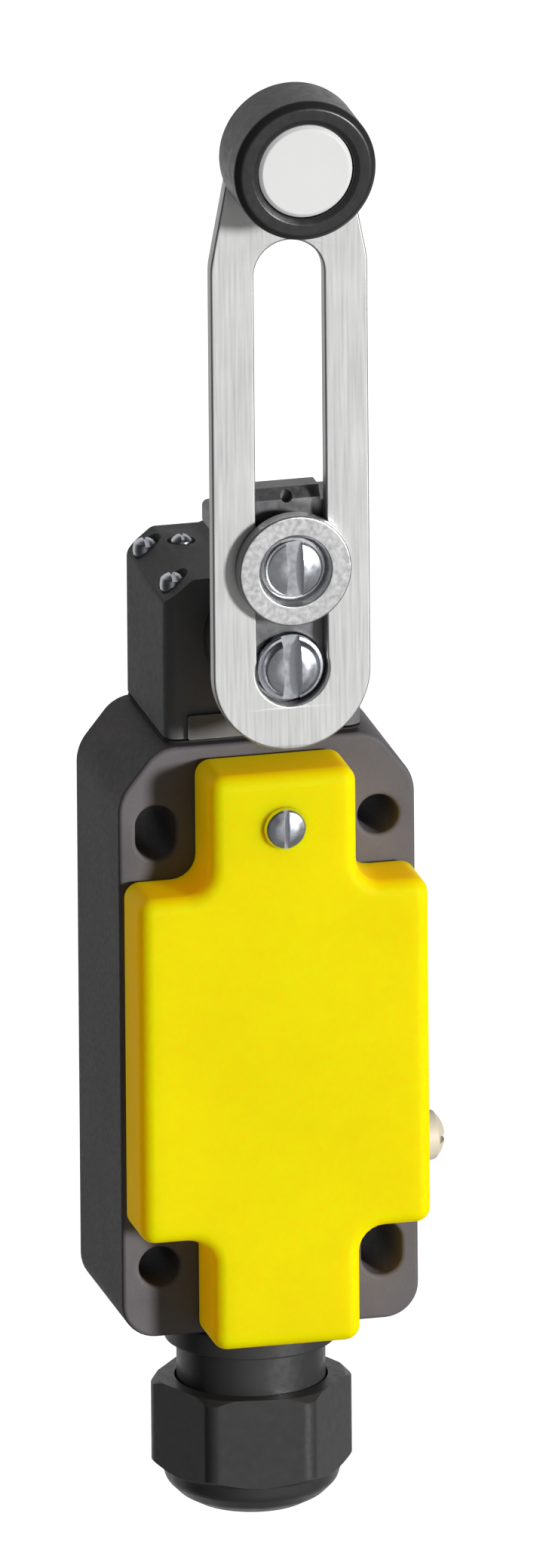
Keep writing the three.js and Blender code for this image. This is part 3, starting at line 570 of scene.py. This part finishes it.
(_, cover_x1), (cover_y0, cover_y1), (cover_z0, cover_z1) = span("cover")
WIDE_Z = 23.8
TAB_X = 9.95
COVER_WALL = 2


def make_cover():
    outline = cross(cover_x1, (-WIDE_Z, WIDE_Z), TAB_X, cover_z0, cover_z1, 3.4, 2)
    piece = slab("cover_shell", "y", [outline], (cover_y0, cover_y1), rims=(1.9, 0.25), steps=9)
    hollow = cross(cover_x1 - COVER_WALL, (COVER_WALL - WIDE_Z, WIDE_Z - COVER_WALL), TAB_X - COVER_WALL,
                   cover_z0 + COVER_WALL, 27.5, 1.5, 1)
    return cut(
        piece,
        slab("hollow", "y", [hollow], (cover_y0 + COVER_WALL, cover_y1 + 1), rims=(0.8, 0)),
        slab("screw_hole", "y", [circle((0, COVER_SCREW_Z), 1.9)], (cover_y0 - 1, cover_y1 + 1)),
    )


finish_piece(make_cover(), "cover", cover_yellow)


def slotted_head(name, axis, centre, seat, head, rise, shank, tip, slot, crown=0.35, away=-1):
    """A domed screw with one slot. away is the way its head points along the axis."""
    top = seat + away * rise
    low = top - away * crown * rise
    rim = seat + away * rise * 0.3
    profile = [(0, top, 0), (head * 0.45, top - away * 0.04 * rise, head), (head * 0.92, low, 0.5),
               (head, rim, 0.3), (head * 0.97, seat, 0.1), (shank, seat, 0), (shank, tip, 0.25),
               (0, tip, 0)]
    piece = turned(name, axis, profile, centre, SMALL)
    slot_width, slot_depth = slot
    ends = sorted((top + away, top - away * slot_depth))
    across = {
        "y": ((centre[0] - slot_width / 2, centre[0] + slot_width / 2), ends,
              (centre[1] - head - 1, centre[1] + head + 1)),
        "z": ((centre[0] - slot_width / 2, centre[0] + slot_width / 2),
              (centre[1] - head - 1, centre[1] + head + 1), ends),
        "x": (ends, (centre[0] - head - 1, centre[0] + head + 1),
              (centre[1] - slot_width / 2, centre[1] + slot_width / 2)),
    }[axis]
    return soften(cut(piece, block("slot", *across)), 0.08, angle=50, segments=2)


def screw_from_box(node, axis, rise, shank, slot, material, away=-1, crown=0.35):
    """A slotted screw that fills its CAD node's box."""
    xs, ys, zs = span(node)
    along = {"x": xs, "y": ys, "z": zs}[axis]
    head_end, tip = along if away < 0 else along[::-1]
    first, second = {"x": (ys, zs), "y": (xs, zs), "z": (xs, ys)}[axis]
    centre = (middle(first), middle(second))
    across = ys if axis == "x" else xs
    head = (across[1] - across[0]) / 2
    seat = head_end - away * rise
    piece = slotted_head(f"{node}_turned", axis, centre, seat, head, rise, shank, tip, slot, crown, away)
    return finish_piece(piece, node, material, angle=40)


screw_from_box("cover_screw", "y", 1.9, 1.35, (0.7, 0.9), bright_zinc)

# ---------------------------------------------------------------- head

(head_x0, head_x1), (head_y0, head_y1), (head_z0, _) = span("head_housing")
SHAFT_Z = middle(span("shaft")[2])
HEAD_FRONT = -23.6
NOSE_RADIUS = 8.2
HEAD_TOP, HEAD_FLAT_X, HEAD_EDGE_Z = 64.3, 9.5, 61.2
LEDGE_X, LEDGE_TOP, LEDGE_FRONT = 10.5, 45.7, -24.3
INNER_Y = -20                   # nose and ledge end here, inside the head
CROWN_FRONT = -22
ABOVE = 66                      # cutting tools end here, above the head
SCREW_RISE = 2.2
SCREW_SEAT = span("head_screw_front_left")[2][1] - SCREW_RISE - 0.3


def make_head():
    footprint = rectangle((head_x0, head_x1), (HEAD_FRONT, head_y1), 2)
    profile = rounded([
        (head_x0, head_z0 - 1, 0), (head_x1, head_z0 - 1, 0), (head_x1, HEAD_EDGE_Z, 1.5),
        (HEAD_FLAT_X, HEAD_TOP, 1.5), (-HEAD_FLAT_X, HEAD_TOP, 1.5), (head_x0, HEAD_EDGE_Z, 1.5),
    ])
    piece = slab("head_casting", "z", [footprint], (head_z0, HEAD_TOP))
    combine(piece, "INTERSECT", slab("profile", "y", [profile], (HEAD_FRONT - 2, head_y1 + 1)))
    nose = turned("nose", "y", [
        (0, head_y0, 0), (NOSE_RADIUS, head_y0, 0.6), (NOSE_RADIUS, INNER_Y, 0), (0, INNER_Y, 0),
    ], (0, SHAFT_Z))
    ledge_outline = rectangle((-LEDGE_X, LEDGE_X), (head_z0, LEDGE_TOP), 0.4)
    ledge = slab("ledge", "y", [ledge_outline], (LEDGE_FRONT, INNER_Y))
    crown = turned("crown", "y", [
        (0, CROWN_FRONT, 0), (CROWN_RADIUS, CROWN_FRONT, 0), (CROWN_RADIUS, head_y1, 1), (0, head_y1, 0),
    ], (0, SHAFT_Z), FINE)
    join(piece, nose, ledge, crown)
    bore = [
        (0, head_y0 - 1, 0), (6, head_y0 - 1, 0), (6, -17, 0), (6.6, -17, 0), (6.6, -2.3, 0), (0, -2.3, 0),
    ]
    anchor = centre_xy("spring_anchor_screw")
    seat = span("spring_anchor_screw")[2][1] - 2.5
    cutters = [
        turned("bore", "y", bore, (0, SHAFT_Z)),
        block("well", (-5.4, 5.4), (PLUNGER_Y - 5.4, PLUNGER_Y + 5.4), (head_z0 - 1, SHAFT_Z)),
        turned("anchor_seat", "z", [(0, seat, 0), (1.9, seat, 0), (1.9, ABOVE, 0), (0, ABOVE, 0)],
               anchor, SMALL),
    ]
    for node in HEAD_SCREWS:
        profile = [(0, SCREW_SEAT, 0), (2.1, SCREW_SEAT, 0), (2.1, ABOVE, 0), (0, ABOVE, 0)]
        cutters.append(turned("seat", "z", profile, centre_xy(node), SMALL))
    return cut(piece, *cutters)


finish_piece(soften(make_head(), 0.35, angle=38), "head_housing", head_coat, angle=35)

for screw in HEAD_SCREWS:
    screw_from_box(screw, "z", SCREW_RISE, 1.1, (0.6, 0.8), bright_zinc, away=1, crown=0.3)
screw_from_box("spring_anchor_screw", "z", 2.2, 0.7, (0.4, 0.5), bright_zinc, away=1)

gasket_x, gasket_y, gasket_z = span("head_gasket")
gasket = slab("head_gasket_sheet", "z", [rectangle(gasket_x, gasket_y, 2), circle((0, PLUNGER_Y), 4.4)],
              gasket_z, rims=(0.1, 0.1))
finish_piece(gasket, "head_gasket", seal_rubber)

# ---------------------------------------------------------------- shaft, hub and clamp

hub_x, (hub_y0, hub_y1), (_, hub_z1) = span("lever_hub")
plate_x, (plate_y0, plate_y1), (plate_z0, _) = span("lever_plate")
HUB_FACE = hub_y0
HUB_NECK_X = 8.4
HUB_FOOT_RADIUS = 9.2
HUB_BAR_Z = (75.2, 78.6)
LUG_X = 4.5
LUG_BACK = HUB_FACE + 4
CLAMP_Z = middle(span("clamp_washer")[2])


def make_hub():
    foot = arc((0, SHAFT_Z), HUB_FOOT_RADIUS, math.pi * 1.12, math.pi * 1.88, 40)
    neck = foot + [(HUB_NECK_X, HUB_BAR_Z[1]), (-HUB_NECK_X, HUB_BAR_Z[1])]
    piece = slab("hub_casting", "y", [neck], (HUB_FACE, hub_y1))
    join(
        piece,
        slab("bar", "y", [rectangle(hub_x, HUB_BAR_Z, 0.8)], (HUB_FACE, LUG_BACK)),
        slab("lug", "x", [[
            (HUB_FACE, HUB_BAR_Z[0]), (LUG_BACK, HUB_BAR_Z[0]), (LUG_BACK, hub_z1),
            (HUB_FACE + 1, hub_z1), (HUB_FACE, hub_z1 - 1.4),
        ]], (-LUG_X, LUG_X)),
    )
    ends = (HUB_FACE - 1, hub_y1 + 1)
    cutters = [
        slab("shaft_hole", "y", [circle((0, SHAFT_Z), 3.5)], ends),
        slab("counterbore", "y", [circle((0, SHAFT_Z), 4.6)], (HUB_FACE - 1, HUB_FACE + 2.2)),
        slab("clamp_hole", "y", [circle((0, CLAMP_Z), 2.7)], ends),
        block("nut_pocket", (-4.6, 4.6), (hub_y1 - 2.8, hub_y1 + 1), (CLAMP_Z - 4.6, CLAMP_Z + 4.6)),
        slab("lug_hole", "y", [circle((0, 79.3), 0.8)], (HUB_FACE - 1, HUB_FACE + 1.5)),
    ]
    return cut(piece, *cutters)


finish_piece(soften(make_hub(), 0.3, angle=38), "lever_hub", dark_zinc)

washer_x, (washer_y0, washer_y1), _ = span("clamp_washer")
washer_radius = (washer_x[1] - washer_x[0]) / 2
washer = turned("clamp_cup_washer", "y", [
    (2.9, washer_y0 + 1.6, 0.1), (4.3, washer_y0 + 1.6, 0.3), (4.9, washer_y0, 0.25),
    (washer_radius, washer_y0, 0.3), (washer_radius, washer_y1, 0.1), (2.9, washer_y1, 0.1),
], (0, CLAMP_Z))
finish_piece(washer, "clamp_washer", plain_steel)

screw_from_box("clamp_screw", "y", 1.4, 2.45, (2.2, 1.2), bright_zinc, crown=0.5)

(_, end_flange), (end_y0, end_y1), _ = span("shaft_end_screw")
END_RADIUS = end_flange - 0.5
end_screw = turned("end_screw_turned", "y", [
    (0, end_y0, 0), (END_RADIUS * 0.5, end_y0 + 0.05, 3), (END_RADIUS - 0.5, end_y0 + 0.6, 0.6),
    (END_RADIUS, end_y0 + 1.2, 0.3), (END_RADIUS, end_y0 + 1.45, 0.1), (end_flange, end_y0 + 1.5, 0.2),
    (end_flange, end_y0 + 2.3, 0.2), (END_RADIUS, end_y0 + 2.3, 0), (END_RADIUS, end_y0 + 4.9, 0.2),
    (1.4, end_y0 + 4.9, 0), (1.4, end_y1, 0.25), (0, end_y1, 0),
], (0, SHAFT_Z))
cut(end_screw, block("slot", (-1.2, 1.2), (end_y0 - 1, end_y0 + 2), (SHAFT_Z - 6, SHAFT_Z + 6)))
finish_piece(soften(end_screw, 0.1, angle=50, segments=2), "shaft_end_screw", bright_zinc, angle=40)

nut_x, nut_y, nut_z = span("clamp_nut")
nut = slab("clamp_square_nut", "y", [rectangle(nut_x, nut_z, 0.6), circle((0, CLAMP_Z), 2.6)], nut_y,
           rims=(0.3, 0.3))
finish_piece(nut, "clamp_nut", bright_zinc)

bush_x, (bush_y0, bush_y1), _ = span("shaft_bushing")
bush_radius = (bush_x[1] - bush_x[0]) / 2
bushing = turned("shaft_bushing_turned", "y", [
    (4.08, bush_y0, 0.2), (bush_radius, bush_y0, 0.2), (bush_radius, bush_y0 + 0.6, 0.1),
    (5.7, bush_y0 + 0.6, 0), (5.7, bush_y1, 0.2), (4.08, bush_y1, 0.2),
], (0, SHAFT_Z))
finish_piece(bushing, "shaft_bushing", brass)

# ---------------------------------------------------------------- lever and roller

PLATE_RADIUS = plate_x[1]
PLATE_LOW_CENTRE = plate_z0 + PLATE_RADIUS
PLATE_HIGH_CENTRE = 111.5
EYE_RADIUS = 7.5
ROLLER_Z = middle(span("roller_tyre")[2])
SLOT_RADIUS, SLOT_TOP = 4.75, 110.8
FOOT_RADIUS, FOOT_Z = 4.95, SHAFT_Z


def make_plate():
    lean = math.asin((PLATE_RADIUS - EYE_RADIUS) / (ROLLER_Z - PLATE_HIGH_CENTRE))
    outline = arc((0, PLATE_LOW_CENTRE), PLATE_RADIUS, math.pi, 2 * math.pi, 64)
    outline += arc((0, PLATE_HIGH_CENTRE), PLATE_RADIUS, 0, lean, 6)
    outline += arc((0, ROLLER_Z), EYE_RADIUS, lean, math.pi - lean, 40)
    outline += arc((0, PLATE_HIGH_CENTRE), PLATE_RADIUS, math.pi - lean, math.pi, 6)
    spread = math.asin(SLOT_RADIUS / FOOT_RADIUS)
    slot = arc((0, SLOT_TOP), SLOT_RADIUS, 0, math.pi, 32)
    slot += arc((0, FOOT_Z), FOOT_RADIUS, math.pi / 2 + spread, math.pi * 2.5 - spread, 48)
    return slab("lever_pressing", "y", [outline, slot, circle((0, ROLLER_Z), 2.2)], (plate_y0, plate_y1),
                rims=(0.3, 0.2))


finish_piece(make_plate(), "lever_plate", lever_steel)

(_, roller_radius), (tyre_y0, tyre_y1), _ = span("roller_tyre")
HUB_DISC = 6.35
tyre = turned("roller_tread", "y", [
    (HUB_DISC + 0.15, tyre_y0 + 0.35, 0.3), (HUB_DISC + 0.9, tyre_y0, 0.3),
    (roller_radius - 0.8, tyre_y0, 0.6), (roller_radius, tyre_y0 + 0.9, 0.8),
    (roller_radius, tyre_y1 - 0.4, 0.4), (roller_radius - 0.4, tyre_y1, 0.3),
    (HUB_DISC + 0.15, tyre_y1, 0.2),
], (0, ROLLER_Z), steps=FINE)
finish_piece(tyre, "roller_tyre", tread_plastic)

_, (disc_y0, disc_y1), _ = span("roller_hub")
disc = turned("roller_disc", "y", [
    (0, disc_y0, 0), (HUB_DISC - 0.5, disc_y0, 0.3), (HUB_DISC, disc_y0 + 0.4, 0.2),
    (HUB_DISC, disc_y1, 0.2),
    (2.15, disc_y1, 0.1), (2.15, disc_y0 + 1.1, 0.1), (0, disc_y0 + 1.1, 0),
], (0, ROLLER_Z), steps=FINE)
finish_piece(disc, "roller_hub", pale_plastic)

_, (pin_y0, pin_y1), _ = span("roller_pin")
pin = turned("roller_rivet", "y", [
    (0, pin_y0, 0), (2.1, pin_y0, 0.3), (2.1, plate_y1 + 0.3, 0.05), (3.4, plate_y1 + 0.3, 0.2),
    (3.0, pin_y1, 0.4), (1.2, pin_y1, 0.2), (0, pin_y1 - 0.3, 0),
], (0, ROLLER_Z))
finish_piece(pin, "roller_pin", plain_steel)

# ---------------------------------------------------------------- cable gland

_, _, (nut_low, nut_top) = span("gland_nut")
NUT_SHOULDER = nut_low + 4.8
NUT_APOTHEM = 11.8
NUT_TURN = math.radians(-7)
NUT_REACH = NUT_APOTHEM / math.cos(math.pi / 6)


def make_gland_nut():
    corners = [NUT_TURN + i * math.pi / 3 for i in range(6)]
    hexagon = rounded([(NUT_REACH * math.cos(a), GLAND_Y + NUT_REACH * math.sin(a), 2.4) for a in corners])
    piece = slab("gland_cap", "z", [hexagon], (nut_low - 1, nut_top + 1))
    hull = turned("hull", "z", [
        (0, nut_top, 0), (NUT_REACH - 1.3, nut_top, 0), (NUT_REACH, nut_top - 1.1, 0),
        (NUT_REACH, NUT_SHOULDER + 1, 0), (NUT_APOTHEM, NUT_SHOULDER - 0.2, 0.3),
        (11.3, NUT_SHOULDER - 2, 2.5),
        (9.6, NUT_SHOULDER - 3.7, 3), (7.6, nut_low, 0.6), (0, nut_low, 0),
    ], (0, GLAND_Y))
    combine(piece, "INTERSECT", hull)
    bore = turned("bore", "z", [
        (0, nut_top + 1, 0), (10.1, nut_top + 1, 0), (10.1, NUT_SHOULDER + 3.6, 0),
        (8.4, NUT_SHOULDER + 0.6, 0),
        (5.6, NUT_SHOULDER - 1.6, 0), (5.6, nut_low - 1, 0), (0, nut_low - 1, 0),
    ], (0, GLAND_Y))
    return cut(piece, bore)


finish_piece(soften(make_gland_nut(), 0.25, angle=24), "gland_nut", gland_plastic)

_, _, (gland_z0, gland_z1) = span("gland_body")
NECK_RADIUS = 9.8
COLLAR = (11.4, body_z0 - 1.4, body_z0 - 4.5)
gland = turned("gland_body_turned", "z", [
    (6.4, gland_z1, 0.2), (NECK_RADIUS - 0.5, gland_z1, 0), (NECK_RADIUS, gland_z1 - 0.5, 0),
    (NECK_RADIUS, COLLAR[1], 0), (COLLAR[0], COLLAR[1], 0.2), (COLLAR[0], COLLAR[2], 0.3),
    (NECK_RADIUS, COLLAR[2], 0.2), (NECK_RADIUS, gland_z0, 0.3), (6.4, gland_z0, 0.2),
], (0, GLAND_Y))
finish_piece(gland, "gland_body", gland_plastic)

ring_x, _, (ring_z0, ring_z1) = span("gland_ring")
ring_radius = ring_x[1]
ring_wire = (ring_z1 - ring_z0) / 2
ring = turned("gland_o_ring", "z", [
    (ring_radius - 2 * ring_wire, ring_z0, ring_wire * 0.98), (ring_radius, ring_z0, ring_wire * 0.98),
    (ring_radius, ring_z1, ring_wire * 0.98), (ring_radius - 2 * ring_wire, ring_z1, ring_wire * 0.98),
], (0, GLAND_Y))
finish_piece(ring, "gland_ring", seal_rubber)

_, _, (insert_z0, insert_z1) = span("gland_seal")
insert = turned("gland_insert", "z", [
    (4.2, insert_z1, 0.4), (6.1, insert_z1, 0.3), (6.1, nut_top - 6.8, 0), (7.6, nut_top - 6.8, 0.2),
    (7.6, NUT_SHOULDER + 1.4, 0.3), (5.3, insert_z0, 0.4), (4.2, insert_z0, 0.5),
], (0, GLAND_Y))
finish_piece(insert, "gland_seal", seal_rubber)

# ---------------------------------------------------------------- earth screw on the right side

(earth_x0, earth_x1), earth_y, earth_z = span("earth_screw")
earth_at = (middle(earth_y), middle(earth_z))
EARTH_RISE, EARTH_HEAD, EARTH_SHANK = 3.9, 3.5, 1.6
earth = slotted_head("earth_screw_turned", "x", earth_at, earth_x1 - EARTH_RISE, EARTH_HEAD, EARTH_RISE,
                     EARTH_SHANK, earth_x0, (0.9, 1.1), away=1)
finish_piece(earth, "earth_screw", cream_plastic, angle=40)

# ---------------------------------------------------------------- springs


def spring(node, axis, ends, radius, wire, turns, centre):
    piece = coil(f"{node}_coil", axis, centre, ends, radius, wire, turns)
    return finish_piece(piece, node, spring_steel, angle=60)


carrier_ends = span("carrier_spring")[2]
carrier_spring = spring("carrier_spring", "z", carrier_ends, 2.1, 0.22, 5, (0, PLUNGER_Y))
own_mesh(carrier_spring)
follower_ends = span("follower_spring")[2]
follower_spring = spring("follower_spring", "z", follower_ends, 3.3, 0.25, 5, (0, PLUNGER_Y))
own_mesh(follower_spring)
spring("return_spring", "y", span("return_spring")[1], 5.2, 0.4, 2, (0, SHAFT_Z))

# ---------------------------------------------------------------- CAD nodes that keep their shape

KEPT = {
    "cover_seal": (seal_rubber, 0), "shaft": (plain_steel, 0.15), "shaft_cam": (cream_plastic, 0.15),
    "shaft_circlip": (spring_steel, 0.05), "roller_spacer": (plain_steel, 0.05),
    "follower": (cream_plastic, 0.1),
    "contact_base": (block_plastic, 0.25), "contact_carrier": (cream_plastic, 0.2),
    "closed_contact_bridge": (copper, 0.08), "open_contact_bridge": (copper, 0.08),
    "earth_washer": (brass, 0.1),
}
for side in ("left", "right"):
    for kind in ("closed", "open"):
        KEPT[f"{kind}_terminal_{side}"] = (brass, 0.1)
        screw_from_box(f"{kind}_terminal_screw_{side}", "y", 1.9, 1.3, (0.7, 0.8), bright_zinc)
    screw_from_box(f"block_screw_{side}", "y", 1.5, 1.1, (0.6, 0.6), bright_zinc)

for node, (material, width) in KEPT.items():
    kept = frame["nodes"][node]
    kept.data.materials.clear()
    kept.data.materials.append(material)
    if width:
        soften(kept, width, angle=40, segments=2)

# ---------------------------------------------------------------- floor, lights and camera

FLOOR_DROP = 250                # the switch hangs on its wall, well above the floor
FRONT_FILL, REAR_FILL, BACKDROP, PANEL = 0.03, 0.07, 0.6, 0.34
PANEL_TOWARDS = (0.22, -0.92, -0.31)
REAR = (0, 1, 0)
KEY_TOWARDS, KEY_STRENGTH, KEY_ANGLE = (6.85, -10, 1.45), 3.35, 9
SIGHT_DISTANCE = 600            # millimetres from the aimed point to the camera
SIGHT_TURN = math.radians(-13.43)
SIGHT_RISE = math.radians(18.3)
SIGHT_ROLL = math.radians(0.48)
SIGHT_AT = Vector((1.06, -24.5, 35.43)) * MM
SIGHT_HEIGHT = 205.9            # millimetres from the picture's top to its bottom


def make_floor():
    reach = 4000
    low = cad_low.z / MM - FLOOR_DROP
    corners = [(-reach, -reach, low), (reach, -reach, low), (reach, reach, low), (-reach, reach, low)]
    floor = mesh_object("floor", corners, [(0, 1, 2, 3)])
    shader = Shader("floor_paint")
    patches = shader.ramp(shader.noise(3, 3), 0.3, 0.7)
    shader.colour(shader.blend(patches, (0.9, 0.9, 0.9), (0.93, 0.93, 0.93)))
    shader.set(roughness=0.9, emission_color=(1, 1, 1, 1), emission_strength=0.9)
    floor.data.materials.append(shader.material)
    floor.visible_diffuse = False
    floor.visible_glossy = False


def make_sun(name, towards, strength, angle):
    """A distant soft light. towards points from the object to the light."""
    light = bpy.data.lights.new(name, "SUN")
    light.energy = strength
    light.angle = math.radians(angle)
    lamp = bpy.data.objects.new(name, light)
    lamp.rotation_mode = "QUATERNION"
    lamp.rotation_quaternion = Vector(towards).to_track_quat("Z", "Y")
    bpy.context.scene.collection.objects.link(lamp)


def make_world():
    """White to look at. The fill is weak all round, stronger from behind, with a soft low panel in front."""
    world = bpy.data.worlds.new("studio")
    world.use_nodes = True
    nodes, links = world.node_tree.nodes, world.node_tree.links
    direction = nodes.new("ShaderNodeTexCoord").outputs["Generated"]

    def glow(towards, start, end, low, high):
        """From low to high as a direction turns towards the given one."""
        facing = nodes.new("ShaderNodeVectorMath")
        facing.operation = "DOT_PRODUCT"
        links.new(direction, facing.inputs[0])
        facing.inputs[1].default_value = towards
        share = nodes.new("ShaderNodeMapRange")
        share.interpolation_type = "SMOOTHSTEP"
        for key, value in (("From Min", start), ("From Max", end), ("To Min", low), ("To Max", high)):
            share.inputs[key].default_value = value
        links.new(facing.outputs["Value"], share.inputs["Value"])
        return share.outputs["Result"]

    def total(first, second):
        step = nodes.new("ShaderNodeMath")
        links.new(first, step.inputs[0])
        links.new(second, step.inputs[1])
        return step.outputs["Value"]

    around = glow(REAR, -0.4, 0.5, FRONT_FILL, REAR_FILL)
    behind = glow(REAR, 0.2, 0.8, 0, BACKDROP)
    fill = total(total(around, behind), glow(PANEL_TOWARDS, 0.5, 0.95, 0, PANEL))
    paths = nodes.new("ShaderNodeLightPath")
    mix = nodes.new("ShaderNodeMix")
    mix.data_type = "FLOAT"
    links.new(fill, mix.inputs[2])
    mix.inputs[3].default_value = 1.0
    links.new(paths.outputs["Is Camera Ray"], mix.inputs[0])
    links.new(mix.outputs[0], nodes["Background"].inputs["Strength"])
    nodes["Background"].inputs["Color"].default_value = (1, 1, 1, 1)
    bpy.context.scene.world = world


def make_camera():
    level = math.cos(SIGHT_RISE)
    back = Vector((math.sin(SIGHT_TURN) * level, -math.cos(SIGHT_TURN) * level, math.sin(SIGHT_RISE)))
    right = Vector((0, 0, 1)).cross(back).normalized()
    up = back.cross(right)
    tilted_right = right * math.cos(SIGHT_ROLL) - up * math.sin(SIGHT_ROLL)
    tilted_up = up * math.cos(SIGHT_ROLL) + right * math.sin(SIGHT_ROLL)
    camera = bpy.data.objects.new("camera", bpy.data.cameras.new("camera"))
    camera.data.type = "ORTHO"
    camera.data.ortho_scale = SIGHT_HEIGHT * MM
    camera.data.clip_end = 20
    at = SIGHT_AT + back * SIGHT_DISTANCE * MM
    camera.matrix_world = Matrix((
        (tilted_right.x, tilted_up.x, back.x, at.x), (tilted_right.y, tilted_up.y, back.y, at.y),
        (tilted_right.z, tilted_up.z, back.z, at.z), (0, 0, 0, 1),
    ))
    bpy.context.scene.collection.objects.link(camera)
    bpy.context.scene.camera = camera


make_floor()
make_sun("key", KEY_TOWARDS, KEY_STRENGTH, KEY_ANGLE)
make_world()
make_camera()
bpy.context.scene.view_settings.view_transform = "Standard"
